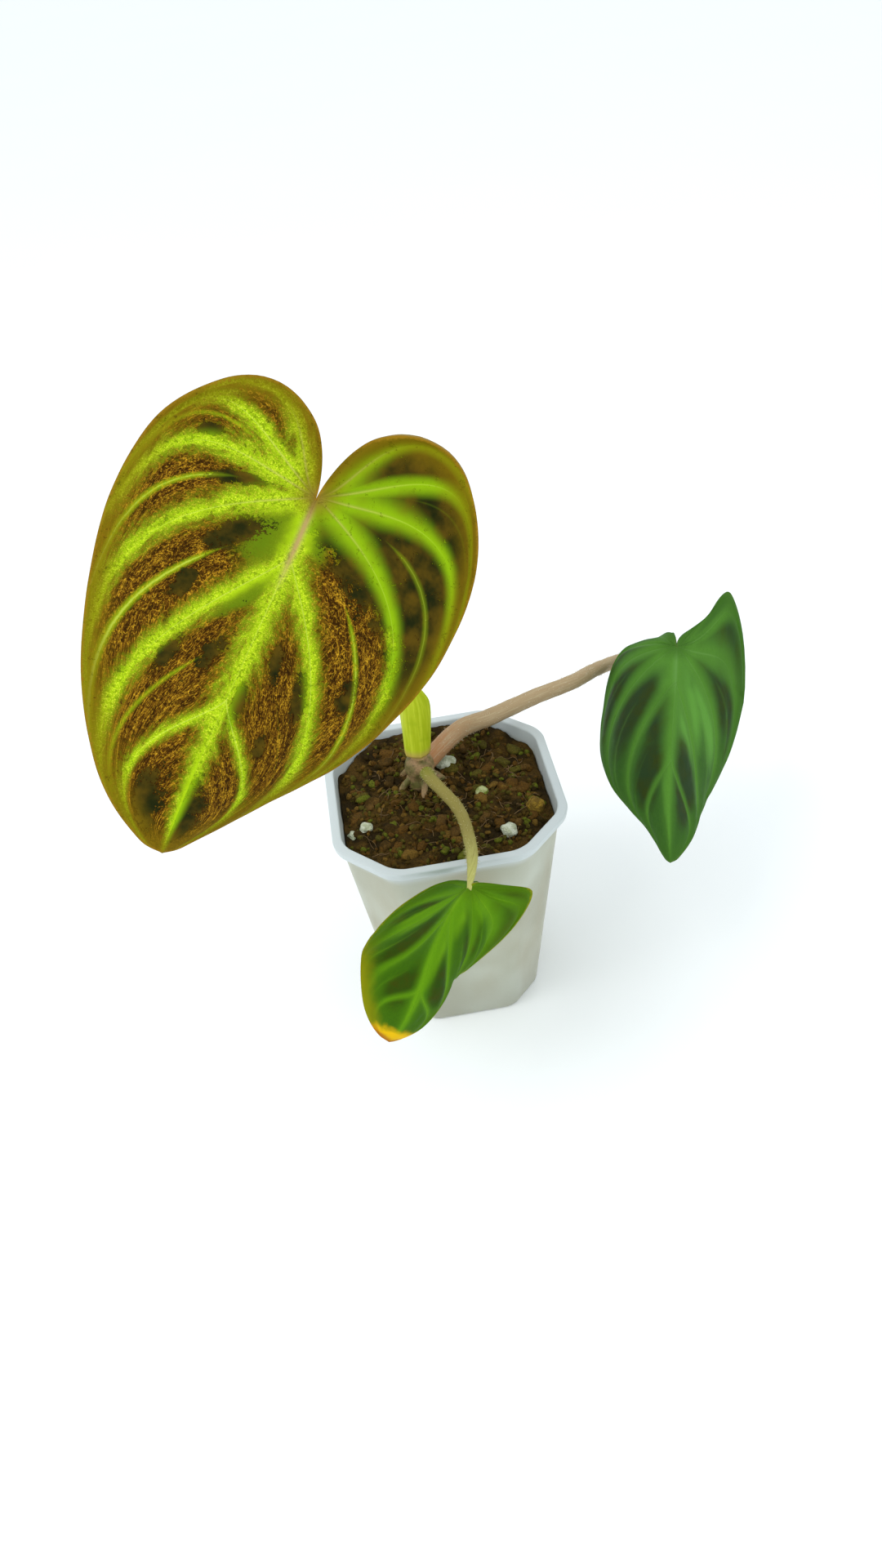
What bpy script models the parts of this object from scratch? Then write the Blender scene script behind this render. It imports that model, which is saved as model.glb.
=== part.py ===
"""A potted philodendron: three heart-shaped leaves on a short rooted stem, in a square nursery pot.

Units are metres and +Z is up. The origin is the middle of the pot's underside. The pot's front is its
-Y side: the large leaf leans out over it, the small front leaf hangs past the rim there, and the right
leaf hangs out past the +X side.
"""

import math
import random

import bmesh
import bpy
import numpy as np
from mathutils import Matrix, Vector, noise

MM = 0.001
CLEARANCE = 0.0003
# Round pieces have flats, so their room is a little wider.
ROUND_CLEARANCE = 0.00035
WELD = 0.000001
SHARP_ANGLE = 40
SEED = 11

# The pot is a tapered square with cut corners, a thin wall, a rounded foot and a lip.
POT_HEIGHT = 0.080
POT_TOP = 0.066
POT_BASE = 0.047
POT_TOP_CUT = 0.0143
POT_BASE_CUT = 0.0104
POT_WALL = 0.0008
POT_FLOOR = 0.0010
FOOT_ROUND = 0.0035
LIP_REACH = 0.0020
LIP_HEIGHT = 0.0026
CORNER_EASE = 0.0013
DRAIN_HOLES = 8
DRAIN_RADIUS = 0.0024
DRAIN_CIRCLE = 0.0145

# The soil fills the pot to a little under its rim.
SOIL_LEVEL = 0.0744
SOIL_MOUND = 0.0012
SOIL_BANK = 0.0038
BANK_START = 0.010
BANK_RUN = 0.020
SOIL_RINGS = 9
SOIL_ALONG = 5
BARK_CHIPS = 22
CHIP_FIELD = 0.026
CHIP_SPACING = 0.0052

# Loose grains that lie in the soil: place, radius and kind.
GRAINS = (
    ((0.0029, 0.0153), 0.0030, "perlite"),
    ((-0.0246, -0.0076), 0.0020, "perlite"),
    ((-0.0289, -0.0094), 0.0016, "perlite"),
    ((0.0118, -0.0010), 0.0021, "perlite"),
    ((0.0167, -0.0192), 0.0025, "perlite"),
    ((0.0266, -0.0099), 0.0028, "bark_nugget"),
)
GRAIN_COLOURS = {"perlite": (0.62, 0.60, 0.48), "bark_nugget": (0.36, 0.22, 0.05)}
GRAIN_FLATNESS = 0.8

# The stem is short, and stands in the soil on its roots. Its profile is height and radius.
CROWN = Vector((-0.0054, 0.0094, 0.0))
STEM_PROFILE = (
    (0.0400, 0.0020),
    (0.0550, 0.0030),
    (0.0700, 0.0040),
    (0.0765, 0.0046),
    (0.0790, 0.0041),
    (0.0818, 0.0046),
    (0.0846, 0.0039),
)
ROOTS = 5
ROOT_START = -8
ROOT_RADIUS = 0.0008
ROOT_PATH = ((0.0, 0.0790), (0.0045, 0.0780), (0.0090, 0.0725), (0.0125, 0.0620), (0.0150, 0.0500))
TUBE_SIDES = 10
TUBE_RINGS = 4

# The sheath at the foot of the large leaf's stalk: height, how much of a tube it is, and its radius.
SHEATH_PROFILE = (
    (0.0880, 215, 0.0031),
    (0.0945, 210, 0.0033),
    (0.1010, 190, 0.0036),
    (0.1070, 150, 0.0039),
    (0.1115, 90, 0.0042),
    (0.1140, 25, 0.0044),
)
SHEATH_WALL = 0.0009
SHEATH_SIDES = 14
SHEATH_FACES = 245
SHEATH_LEAN = (0.060, 0.100, 0.0)

BLADE_THICKNESS = 0.0007
RIB_THICKNESS = 0.0013
QUILTING = 0.0006
MIDRIB_GROOVE = 0.0004
# A petiole meets its blade this share of the midrib past the notch.
JOINT_SHARE = 0.035
JOINT_REACH = 0.012

# One half of a leaf seen flat, in midrib lengths: (out from the midrib, along it), notch to tip.
MARGIN = (
    (0.0, 0.0),
    (0.012, -0.09),
    (0.09, -0.18),
    (0.21, -0.21),
    (0.345, -0.155),
    (0.46, -0.02),
    (0.485, 0.205),
    (0.43, 0.46),
    (0.335, 0.70),
    (0.205, 0.885),
    (0.07, 0.985),
    (0.0, 1.0),
)
# Each rib's start along the midrib, two handles (out, along), and its end as a share of the margin.
# The first is the notch's edge and the last is the tip.
RIBS = (
    (0.00, 0.005, -0.06, 0.030, -0.130, 0.100),
    (0.00, 0.085, -0.04, 0.100, -0.300, 0.275),
    (0.00, 0.195, -0.085, 0.395, -0.290, 0.440),
    (0.00, 0.210, -0.015, 0.450, -0.135, 0.510),
    (0.00, 0.200, 0.115, 0.550, 0.225, 0.775),
    (0.19, 0.090, 0.34, 0.390, 0.625, 0.880),
    (0.60, 0.020, 0.67, 0.310, 0.815, 0.980),
    (1.00, 0.000, 1.00, 0.000, 1.000, 1.000),
)
TIP = len(RIBS) - 1
# How far behind the notch the lobes reach, and where the folds are measured, in midrib lengths.
LOBE_LENGTH = 0.22
FOLD_START = -0.2
FOLD_SPAN = 0.6

# midrib: the notch, two handles and the tip, in millimetres. faces: which way the blade faces at its
# base and at its tip. For the left and right half: folds are its angles to the blade's plane at the
# lobe, the middle and the tip, curls bend it outwards, and lobes roll it back behind the notch.
# part opens the notch. columns and steps divide the blade along each rib's field and out from the midrib.
LEAVES = {
    "large": {
        "midrib": ((-21.9, -36.4, 198.3), (-34.8, -58.0, 186.3), (-46.2, -89.5, 185.5), (-64.2, -93.1, 154.9)),
        "faces": ((0.22, -0.69, 0.69), (0.22, -0.69, 0.69)),
        "folds": ((5, -11, -3.5), (18, -12, -42)),
        "widths": (0.93, 0.98),
        "curls": (2.5, -29),
        "lobes": (-28, -78),
        "part": 0.0,
        "columns": 4,
        "steps": 8,
    },
    "right": {
        "midrib": ((78.7, 22.1, 102.0), (71.5, -0.8, 95.9), (61.1, -27.7, 102.4), (57.9, -43.6, 75.7)),
        "faces": ((-0.54, -0.16, 0.83), (-0.42, -0.22, 0.88)),
        "folds": ((1, 0, -43), (-51, -78, -72)),
        "widths": (0.92, 0.95),
        "curls": (-59, -26),
        "lobes": (69, 91),
        "part": 0.0,
        "columns": 3,
        "steps": 7,
    },
    "front": {
        "midrib": ((0.3, -54.1, 91.6), (-13.5, -71.1, 96.1), (-15.3, -89.2, 89.0), (-27.3, -80.1, 65.6)),
        "faces": ((-0.52, -0.26, 0.81), (0.29, -0.81, 0.50)),
        "folds": ((-36, -54, -29), (-55, -51, -9)),
        "widths": (0.93, 0.87),
        "curls": (46, -62),
        "lobes": (84, 54),
        "part": 0.15,
        "columns": 3,
        "steps": 7,
    },
}

# Each leaf's stalk: its path from the stem, in millimetres, its radius at each point and the joint,
# and how far under the blade's face it ends.
PETIOLES = {
    "large": {
        "path": ((-5.4, 9.4, 80.0), (-5.2, 9.8, 90.0), (-4.2, 11.3, 106.0), (-6.5, 7.5, 145.0), (-12.9, -13.1, 182.0)),
        "radii": (0.0026, 0.0026, 0.0025, 0.0023, 0.0021, 0.0019),
        "depth": 0.0014,
    },
    "right": {
        "path": (
            (-5.4, 9.4, 80.5),
            (8.2, 19.0, 85.2),
            (19.1, 20.7, 87.3),
            (33.1, 25.2, 88.5),
            (47.5, 30.8, 88.0),
            (56.8, 39.7, 84.6),
            (66.0, 47.2, 81.2),
            (73.9, 47.0, 82.4),
            (78.6, 39.0, 88.0),
            (79.8, 29.0, 95.5),
        ),
        "radii": (0.0028, 0.0028, 0.0027, 0.0025, 0.0024, 0.0023, 0.0022, 0.0021, 0.0020, 0.0019, 0.0016),
        "depth": 0.0018,
    },
    "front": {
        "path": (
            (-5.4, 9.4, 80.0),
            (-3.7, 4.3, 82.5),
            (-3.0, -1.3, 84.5),
            (2.8, -17.2, 85.0),
            (3.5, -34.0, 87.2),
            (2.4, -44.6, 89.4),
        ),
        "radii": (0.0020, 0.0020, 0.0019, 0.0018, 0.0017, 0.0015, 0.0013),
        "depth": 0.0,
    },
}


def through(points, at):
    """A smooth curve through the points, read at places from 0 to the last point's number."""
    points = np.asarray(points, float)
    last = len(points) - 1
    padded = np.vstack([2 * points[0] - points[1], points, 2 * points[-1] - points[-2]])
    span = np.clip(at.astype(int), 0, last - 1)
    f = (at - span)[:, None]
    before, start, end, after = (padded[span + k] for k in range(4))
    squared = (2 * before - 5 * start + 4 * end - after) * f**2
    cubed = (3 * (start - end) + after - before) * f**3
    return 0.5 * (2 * start + (end - before) * f + squared + cubed)


def bezier(controls, f):
    """A cubic curve of four control points, or of four arrays of them."""
    a, b, c, d = controls
    return (1 - f) ** 3 * a + 3 * (1 - f) ** 2 * f * b + 3 * (1 - f) * f**2 * c + f**3 * d


def run_along(points):
    """How far along a line each of its points is."""
    steps = np.linalg.norm(np.diff(points, axis=0), axis=1)
    return np.concatenate([[0.0], np.cumsum(steps)])


def unit(vectors):
    return vectors / np.linalg.norm(vectors, axis=-1, keepdims=True)


def read_line(places, values, at):
    return np.stack([np.interp(at, places, column) for column in np.asarray(values).T], axis=-1)


def flat_half(rib, reach):
    """Points of a half leaf laid flat, from their rib's number and their share of its way out."""
    edge = through(MARGIN, np.linspace(0, len(MARGIN) - 1, 400))
    run = run_along(edge)
    ribs = np.array(RIBS)
    starts, ends = read_line(np.arange(len(RIBS)), ribs[:, [0, 5]], rib).T
    handles = through(ribs[:, 1:5], rib)
    root = np.stack([np.zeros_like(starts), starts], axis=-1)
    tip = read_line(run / run[-1], edge, ends)
    return bezier((root, handles[:, :2], handles[:, 2:], tip), reach[:, None])


def on_midrib(leaf, along):
    """Points of a leaf's midrib, and of its straight run on behind the notch, and its length."""
    controls = np.array(leaf["midrib"]) * MM
    line = bezier(controls, np.linspace(0, 1, 101)[:, None])
    run = run_along(line)
    length = run[-1]
    back = np.minimum(along, 0)[:, None] * length
    return read_line(run / length, line, along) + unit(controls[1] - controls[0]) * back, length


def bend(leaf, flat, half):
    """Points in space for flat points of the left half (0) or the right half (1)."""
    length = on_midrib(leaf, np.zeros(1))[1]
    out, along = flat.T
    behind = np.minimum(along, 0)
    out = out * leaf["widths"][half] - leaf["part"] * behind
    # Behind the notch a lobe rolls back round an arc.
    rate = math.radians(leaf["lobes"][half]) / LOBE_LENGTH
    roll = rate * behind
    place = np.where(along < 0, np.sin(roll) / rate, along)
    drop = (np.cos(roll) - 1) / rate * length
    # The blade's own frame there: along the midrib, the way it faces, and out to the side.
    step = 0.012
    ahead = on_midrib(leaf, np.minimum(place + step, 1))[0]
    astern = on_midrib(leaf, np.minimum(place, 1 - step) - step)[0]
    forward = unit(ahead - astern)
    share = np.clip((along - FOLD_START) / (1 - FOLD_START), 0, 1)[:, None]
    base, tip = unit(np.array(leaf["faces"]))
    facing = base * (1 - share) + tip * share
    facing = unit(facing - forward * (facing * forward).sum(axis=1, keepdims=True))
    sideways = np.cross(facing, forward) * (1 if half else -1)
    # The half leaves the midrib at its fold's angle and curls on from there.
    lobe, middle, end = leaf["folds"][half]
    u = np.clip((along - FOLD_START) / FOLD_SPAN, 0, 2)
    fold = np.radians(lobe * (u - 1) * (u - 2) / 2 - middle * u * (u - 2) + end * u * (u - 1) / 2)
    curl = math.radians(leaf["curls"][half]) / (0.5 * length)
    turned = fold + curl * out * length
    over = (np.sin(turned) - np.sin(fold)) / curl
    lift = (np.cos(fold) - np.cos(turned)) / curl
    upward = facing * np.cos(roll)[:, None] - forward * np.sin(roll)[:, None]
    spine = on_midrib(leaf, place)[0]
    return spine + sideways * over[:, None] + facing * drop[:, None] + upward * lift[:, None]


def material(name, colour, roughness):
    """A plain finish: its colour is linear red, green and blue."""
    made = bpy.data.materials.new(name)
    made.use_nodes = True
    shader = made.node_tree.nodes["Principled BSDF"]
    shader.inputs["Base Color"].default_value = (*colour, 1.0)
    shader.inputs["Roughness"].default_value = roughness
    shader.inputs["Metallic"].default_value = 0.0
    return made


def smooth(mesh):
    mesh.shade_smooth()
    mesh.set_sharp_from_angle(angle=math.radians(SHARP_ANGLE))


def finish(name, bm, look=None):
    """Puts a bmesh into the scene as a smooth-shaded object of triangles."""
    mesh = bpy.data.meshes.new(name)
    bmesh.ops.triangulate(bm, faces=bm.faces)
    bm.to_mesh(mesh)
    bm.free()
    smooth(mesh)
    if look:
        mesh.materials.append(look)
    made = bpy.data.objects.new(name, mesh)
    bpy.context.scene.collection.objects.link(made)
    return made


def drop_crumbs(mesh):
    """Keeps the largest body of a mesh, where a cut has left crumbs beside it."""
    bm = bmesh.new()
    bm.from_mesh(mesh)
    bodies = []
    waiting = set(bm.faces)
    while waiting:
        body = {waiting.pop()}
        growing = list(body)
        while growing:
            face = growing.pop()
            near = {other for edge in face.edges for other in edge.link_faces} - body
            body |= near
            growing += near
        waiting -= body
        bodies.append(body)
    largest = max(bodies, key=len)
    crumbs = [face for face in bm.faces if face not in largest]
    bmesh.ops.delete(bm, geom=crumbs, context="FACES")
    bm.to_mesh(mesh)
    bm.free()


def combine(piece, helpers, operation):
    """Joins helpers to a piece, or cuts them from it, with one applied Boolean, and removes them."""
    group = bpy.data.collections.new(f"{piece.name} helpers")
    bpy.context.scene.collection.children.link(group)
    for helper in helpers:
        bpy.context.scene.collection.objects.unlink(helper)
        group.objects.link(helper)
    modifier = piece.modifiers.new(operation.lower(), "BOOLEAN")
    modifier.operation = operation
    modifier.operand_type = "COLLECTION"
    modifier.collection = group
    modifier.solver = "EXACT"
    graph = bpy.context.evaluated_depsgraph_get()
    solid = bpy.data.meshes.new_from_object(piece.evaluated_get(graph))
    piece.modifiers.clear()
    piece.data = solid
    drop_crumbs(solid)
    smooth(solid)
    for helper in helpers:
        bpy.data.objects.remove(helper)
    bpy.data.collections.remove(group)


def skin(name, rings, look=None):
    """The closed solid through a stack of rings with the same count of points, capped at both ends."""
    bm = bmesh.new()
    rows = [[bm.verts.new(point) for point in ring] for ring in rings]
    for low, high in zip(rows, rows[1:]):
        for i in range(len(low)):
            j = (i + 1) % len(low)
            bm.faces.new((low[i], low[j], high[j], high[i]))
    bm.faces.new(reversed(rows[0]))
    bm.faces.new(rows[-1])
    return finish(name, bm, look)


def tube(name, path, radii, look=None, grow=0.0, sides=TUBE_SIDES):
    """A round solid along a smooth curve through the path's points, with a radius for each point."""
    at = np.linspace(0, len(path) - 1, TUBE_RINGS * (len(path) - 1) + 1)
    centres = [Vector(place) for place in through(path, at)]
    centres[0] += (centres[0] - centres[1]).normalized() * grow
    centres[-1] += (centres[-1] - centres[-2]).normalized() * grow
    widths = through([(radius,) for radius in radii], at)[:, 0] + grow
    side = (centres[1] - centres[0]).orthogonal().normalized()
    rings = []
    for i, centre in enumerate(centres):
        forward = (centres[min(i + 1, len(centres) - 1)] - centres[max(i - 1, 0)]).normalized()
        side = (side - forward * side.dot(forward)).normalized()
        across = forward.cross(side)
        angles = [math.tau * k / sides for k in range(sides)]
        rings.append([centre + (side * math.cos(a) + across * math.sin(a)) * widths[i] for a in angles])
    return skin(name, rings, look)


def cut_square(width, cut, along):
    """Points round a square with cut corners, anticlockwise, with extra points along each wide side."""
    half = width / 2
    corners = []
    for turn in range(4):
        spin = Matrix.Rotation(math.radians(90 * turn), 3, "Z")
        corners += [spin @ Vector((half, -half + cut, 0)), spin @ Vector((half, half - cut, 0))]
    points = []
    for i, corner in enumerate(corners):
        after = corners[(i + 1) % 8]
        coming = corner + (corners[i - 1] - corner).normalized() * CORNER_EASE
        going = corner + (after - corner).normalized() * CORNER_EASE
        points += [coming, (coming + going + corner * 2) / 4, going]
        if i % 2 == 0:
            arriving = after + (corner - after).normalized() * CORNER_EASE
            points += [going.lerp(arriving, (k + 1) / (along + 1)) for k in range(along)]
    return points


def wall_ring(z, inset, along=0):
    """The outline of the pot's tapered outside at height z, moved in by inset."""
    share = z / POT_HEIGHT
    width = POT_BASE + (POT_TOP - POT_BASE) * share - 2 * inset
    cut = POT_BASE_CUT + (POT_TOP_CUT - POT_BASE_CUT) * share - inset * (2 - math.sqrt(2))
    return [Vector((p.x, p.y, z)) for p in cut_square(width, cut, along)]


def foot_rings(floor, inset, radius, along=0):
    """Rings that round the corner between a floor and the wall."""
    angles = [math.radians(a) for a in (0, 30, 60, 90)]
    return [
        wall_ring(floor + radius * (1 - math.cos(a)), inset + radius * (1 - math.sin(a)), along)
        for a in angles
    ]


def build_pot():
    lip = POT_HEIGHT - LIP_HEIGHT
    outside = foot_rings(0.0, 0.0, FOOT_ROUND)
    outside += [wall_ring(lip, 0.0), wall_ring(lip, -LIP_REACH), wall_ring(POT_HEIGHT, -LIP_REACH)]
    inside = foot_rings(POT_FLOOR, POT_WALL, FOOT_ROUND - POT_WALL)
    inside.append(wall_ring(POT_HEIGHT, POT_WALL))
    pot = skin("pot", outside + inside[::-1], material("frosted_plastic", (0.60, 0.62, 0.58), 0.45))
    holes = []
    for k in range(DRAIN_HOLES):
        angle = math.tau * (k + 0.5) / DRAIN_HOLES
        bm = bmesh.new()
        bmesh.ops.create_cone(
            bm, cap_ends=True, segments=10, radius1=DRAIN_RADIUS, radius2=DRAIN_RADIUS, depth=6 * POT_FLOOR
        )
        middle = Vector((math.cos(angle), math.sin(angle), 0)) * DRAIN_CIRCLE
        bmesh.ops.translate(bm, verts=bm.verts, vec=middle)
        holes.append(finish(f"drain {k}", bm))
    combine(pot, holes, "DIFFERENCE")


def soil_height(x, y):
    """The soil's lumpy top, a little higher in the middle, and banked up towards the back."""
    rise = SOIL_MOUND * (1 - (math.hypot(x, y) / (POT_TOP / 2)) ** 2)
    lumps = noise.noise(Vector((x, y, 0)) / 0.0055) * 0.0011 + noise.noise(Vector((y, x, 1)) / 0.0024) * 0.0006
    bank = SOIL_BANK * min(max((y - BANK_START) / BANK_RUN, 0), 1) ** 2
    return SOIL_LEVEL + rise + lumps + bank


def soil_body(look):
    inset = POT_WALL + CLEARANCE
    rings = foot_rings(POT_FLOOR + CLEARANCE, inset, FOOT_ROUND - POT_WALL, SOIL_ALONG)
    heights = [soil_height(p.x, p.y) for p in wall_ring(SOIL_LEVEL, inset, SOIL_ALONG)]
    edge = [wall_ring(z, inset, SOIL_ALONG)[i] for i, z in enumerate(heights)]
    rings.append(edge)
    for k in range(1, SOIL_RINGS):
        share = 1 - k / SOIL_RINGS
        flat = [(p.x * share, p.y * share) for p in edge]
        rings.append([Vector((x, y, soil_height(x, y))) for x, y in flat])
    return skin("soil", rings, look)


def bark_chips():
    """Flat chips half sunk in the soil, clear of the stem, the grains and the pot's wall."""
    rng = random.Random(SEED)
    taken = [(CROWN, 0.010)] + [(Vector((*place, 0)), radius + 0.0045) for place, radius, _ in GRAINS]
    chips = []
    while len(chips) < BARK_CHIPS:
        spot = Vector((rng.uniform(-CHIP_FIELD, CHIP_FIELD), rng.uniform(-CHIP_FIELD, CHIP_FIELD), 0))
        crowded = any((spot - middle).length < reach for middle, reach in taken)
        if crowded or abs(spot.x) + abs(spot.y) > 1.45 * CHIP_FIELD:
            continue
        taken.append((spot, CHIP_SPACING))
        size = Vector((rng.uniform(3.0, 5.5), rng.uniform(2.0, 3.0), rng.uniform(1.2, 1.8))) * MM
        spin = Matrix.Rotation(rng.uniform(0, math.tau), 4, "Z")
        tilt = Matrix.Rotation(rng.uniform(-0.5, 0.5), 4, "X")
        bm = bmesh.new()
        bmesh.ops.create_cube(bm, size=1.0)
        for vertex in bm.verts:
            vertex.co *= rng.uniform(0.75, 1.0)
        bmesh.ops.scale(bm, vec=size, verts=bm.verts)
        place = Matrix.Translation((spot.x, spot.y, soil_height(spot.x, spot.y) + 0.0003))
        bmesh.ops.transform(bm, matrix=place @ spin @ tilt, verts=bm.verts)
        chips.append(finish(f"chip {len(chips)}", bm))
    return chips


def grain(name, place, radius, look=None, grow=0.0):
    """An irregular lump, half sunk in the soil."""
    centre = Vector((*place, soil_height(*place) + 0.15 * radius))
    bm = bmesh.new()
    bmesh.ops.create_icosphere(bm, subdivisions=2, radius=1.0)
    for vertex in bm.verts:
        lump = radius * (1 + 0.3 * noise.noise(vertex.co * 1.3 + centre * 400))
        shape = Vector((1, 1, GRAIN_FLATNESS)) * lump + Vector((grow, grow, grow))
        vertex.co = centre + vertex.co * shape
    return finish(name, bm, look)


def roots(grow=0.0):
    """Stout roots that leave the stem just over the soil and go down into it."""
    rng = random.Random(SEED + 1)
    made = []
    for k in range(ROOTS):
        angle = math.radians(ROOT_START) + math.tau * k / ROOTS + rng.uniform(-0.12, 0.12)
        path = []
        for out, z in ROOT_PATH:
            sway = angle + rng.uniform(-0.1, 0.1)
            path.append(CROWN + Vector((math.cos(sway) * out, math.sin(sway) * out, z)))
        radii = [ROOT_RADIUS * (1.4 - 0.12 * i) for i in range(len(path))]
        made.append(tube(f"root {k}", path, radii, grow=grow, sides=6))
    return made


def petiole(name, size, look, grow):
    """A leaf's stalk, from inside the stem to just under the leaf's joint."""
    leaf = LEAVES[size]
    joint = Vector(bend(leaf, np.array([[0.0, JOINT_SHARE]]), 0)[0])
    path = [Vector(point) * MM for point in PETIOLES[size]["path"]]
    path.append(joint - Vector(leaf["faces"][0]).normalized() * PETIOLES[size]["depth"])
    return tube(name, path, PETIOLES[size]["radii"], look, grow)


def sheath(name, look, grow):
    """The sheath that wrapped the newest leaf: part of a tube, narrowing to a point."""
    rings = []
    for z, opening, radius in SHEATH_PROFILE:
        centre = CROWN + Vector((0, 0, z)) + Vector(SHEATH_LEAN) * (z - SHEATH_PROFILE[0][0])
        half = math.radians(opening) / 2 + grow / radius
        middle = math.radians(SHEATH_FACES)
        angles = [middle - half + 2 * half * k / SHEATH_SIDES for k in range(SHEATH_SIDES + 1)]
        spokes = [Vector((math.cos(a), math.sin(a), 0)) for a in angles]
        outer, inner = radius + SHEATH_WALL + grow, radius - grow
        rings.append([centre + s * outer for s in spokes] + [centre + s * inner for s in reversed(spokes)])
    return skin(name, rings, look)


def crown_piece(name, kind, look=None, grow=0.0):
    """The stem, the sheath, or the stalk of the leaf that the kind names."""
    if kind == "stem":
        path = [CROWN + Vector((0, 0, z)) for z, _ in STEM_PROFILE]
        return tube(name, path, [radius for _, radius in STEM_PROFILE], look, grow)
    if kind == "cataphyll":
        return sheath(name, look, grow)
    return petiole(name, kind.removeprefix("petiole_"), look, grow)


def build_crown():
    """The stem and what grows from it: each piece is cut clear of those before it."""
    looks = {
        "stem": material("stem_green", (0.20, 0.22, 0.06), 0.6),
        "petiole_large": material("large_stalk", (0.36, 0.30, 0.08), 0.55),
        "petiole_right": material("right_stalk", (0.50, 0.38, 0.22), 0.6),
        "petiole_front": material("front_stalk", (0.42, 0.40, 0.12), 0.55),
        "cataphyll": material("lime_sheath", (0.30, 0.50, 0.02), 0.5),
    }
    made = []
    for kind, look in looks.items():
        piece = crown_piece(kind, kind, look)
        room = [crown_piece(f"{earlier} room", earlier, grow=ROUND_CLEARANCE) for earlier in made]
        size = kind.removeprefix("petiole_")
        if size in LEAVES:
            room.append(joint_room(LEAVES[size]))
        if room:
            combine(piece, room, "DIFFERENCE")
        else:
            combine(piece, roots(), "UNION")
        made.append(kind)


def build_soil():
    soil = soil_body(material("potting_mix", (0.05, 0.03, 0.015), 0.95))
    combine(soil, bark_chips(), "UNION")
    room = [crown_piece("stem room", "stem", grow=ROUND_CLEARANCE)] + roots(grow=ROUND_CLEARANCE)
    for k, (place, radius, _) in enumerate(GRAINS):
        room.append(grain(f"grain room {k}", place, radius, grow=ROUND_CLEARANCE))
    combine(soil, room, "DIFFERENCE")


def build_grains():
    looks = {kind: material(kind, colour, 0.9) for kind, colour in GRAIN_COLOURS.items()}
    for k, (place, radius, kind) in enumerate(GRAINS):
        grain(f"{kind}_{k + 1}", place, radius, looks[kind])


def blade_face(leaf):
    """A blade's upper face as a bmesh, with how stout the blade is at each vertex."""
    bm = bmesh.new()
    bmesh.ops.create_grid(bm, x_segments=2 * leaf["steps"], y_segments=leaf["columns"] * TIP, size=1.0)
    grid = np.array([vertex.co[:2] for vertex in bm.verts])
    reach = np.abs(grid[:, 0])
    rib = (grid[:, 1] + 1) / 2 * TIP
    flat = flat_half(rib, reach)
    places = np.where(grid[:, :1] > 0, bend(leaf, flat, 1), bend(leaf, flat, 0))
    on_rib = np.where(reach < 0.01, 1.0, np.cos(math.pi * rib) ** 8)
    stout = on_rib * (1 - reach) * np.clip(1 - 0.8 * flat[:, 1], 0, 1)
    quilt = QUILTING * np.sin(math.pi * rib) ** 2 * np.sin(math.pi * reach)
    groove = MIDRIB_GROOVE * np.exp(-((flat[:, 0] / 0.02) ** 2))
    stoutness = bm.verts.layers.float.new("stout")
    relief = bm.verts.layers.float.new("relief")
    for i, vertex in enumerate(bm.verts):
        vertex.co = places[i]
        vertex[stoutness] = stout[i]
        vertex[relief] = quilt[i] - groove[i]
    bmesh.ops.remove_doubles(bm, verts=bm.verts, dist=WELD)
    bmesh.ops.triangulate(bm, faces=bm.faces)
    bm.normal_update()
    total = sum((face.normal * face.calc_area() for face in bm.faces), Vector())
    if total.dot(Vector(leaf["faces"][0])) < 0:
        bmesh.ops.reverse_faces(bm, faces=bm.faces)
        bm.normal_update()
    moved = [vertex.co + vertex.normal * vertex[relief] for vertex in bm.verts]
    for vertex, place in zip(bm.verts, moved):
        vertex.co = place
    return bm, [vertex[stoutness] for vertex in bm.verts]


def joint_room(leaf):
    """The room that a blade needs round its joint, cut from the end of its stalk."""
    bm = blade_face(leaf)[0]
    joint = Vector(bend(leaf, np.array([[0.0, JOINT_SHARE]]), 0)[0])
    far = [vertex for vertex in bm.verts if (vertex.co - joint).length > JOINT_REACH]
    bmesh.ops.delete(bm, geom=far, context="VERTS")
    made = finish("joint room", bm)
    wall = made.modifiers.new("room", "SOLIDIFY")
    wall.thickness = RIB_THICKNESS + 2 * CLEARANCE
    wall.offset = -RIB_THICKNESS / wall.thickness
    return made


def build_blades():
    """Each blade is quilted between its ribs, and thicker along them on its underside."""
    colours = {"large": (0.10, 0.11, 0.015), "right": (0.045, 0.13, 0.03), "front": (0.06, 0.14, 0.02)}
    for size, leaf in LEAVES.items():
        bm, stout = blade_face(leaf)
        made = finish(f"blade_{size}", bm, material(f"{size}_leaf", colours[size], 0.6))
        group = made.vertex_groups.new(name="stout")
        for i, weight in enumerate(stout):
            group.add([i], weight, "REPLACE")
        wall = made.modifiers.new("thickness", "SOLIDIFY")
        wall.thickness = RIB_THICKNESS
        wall.offset = -1.0
        wall.vertex_group = group.name
        wall.thickness_vertex_group = BLADE_THICKNESS / RIB_THICKNESS


def main():
    for existing in list(bpy.data.objects):
        bpy.data.objects.remove(existing, do_unlink=True)
    build_pot()
    build_crown()
    build_soil()
    build_grains()
    build_blades()


main()
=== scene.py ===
"""The looks of a potted philodendron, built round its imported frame.

Units are metres and +Z is up. The origin is the middle of the pot's underside. The large leaf leans
out over the pot's -Y side, the small front leaf hangs past the rim there, and the right leaf hangs
out past the +X side.
"""

import math
import random

import bmesh
import bpy
import numpy as np
from mathutils import Matrix, Vector, noise


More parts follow.
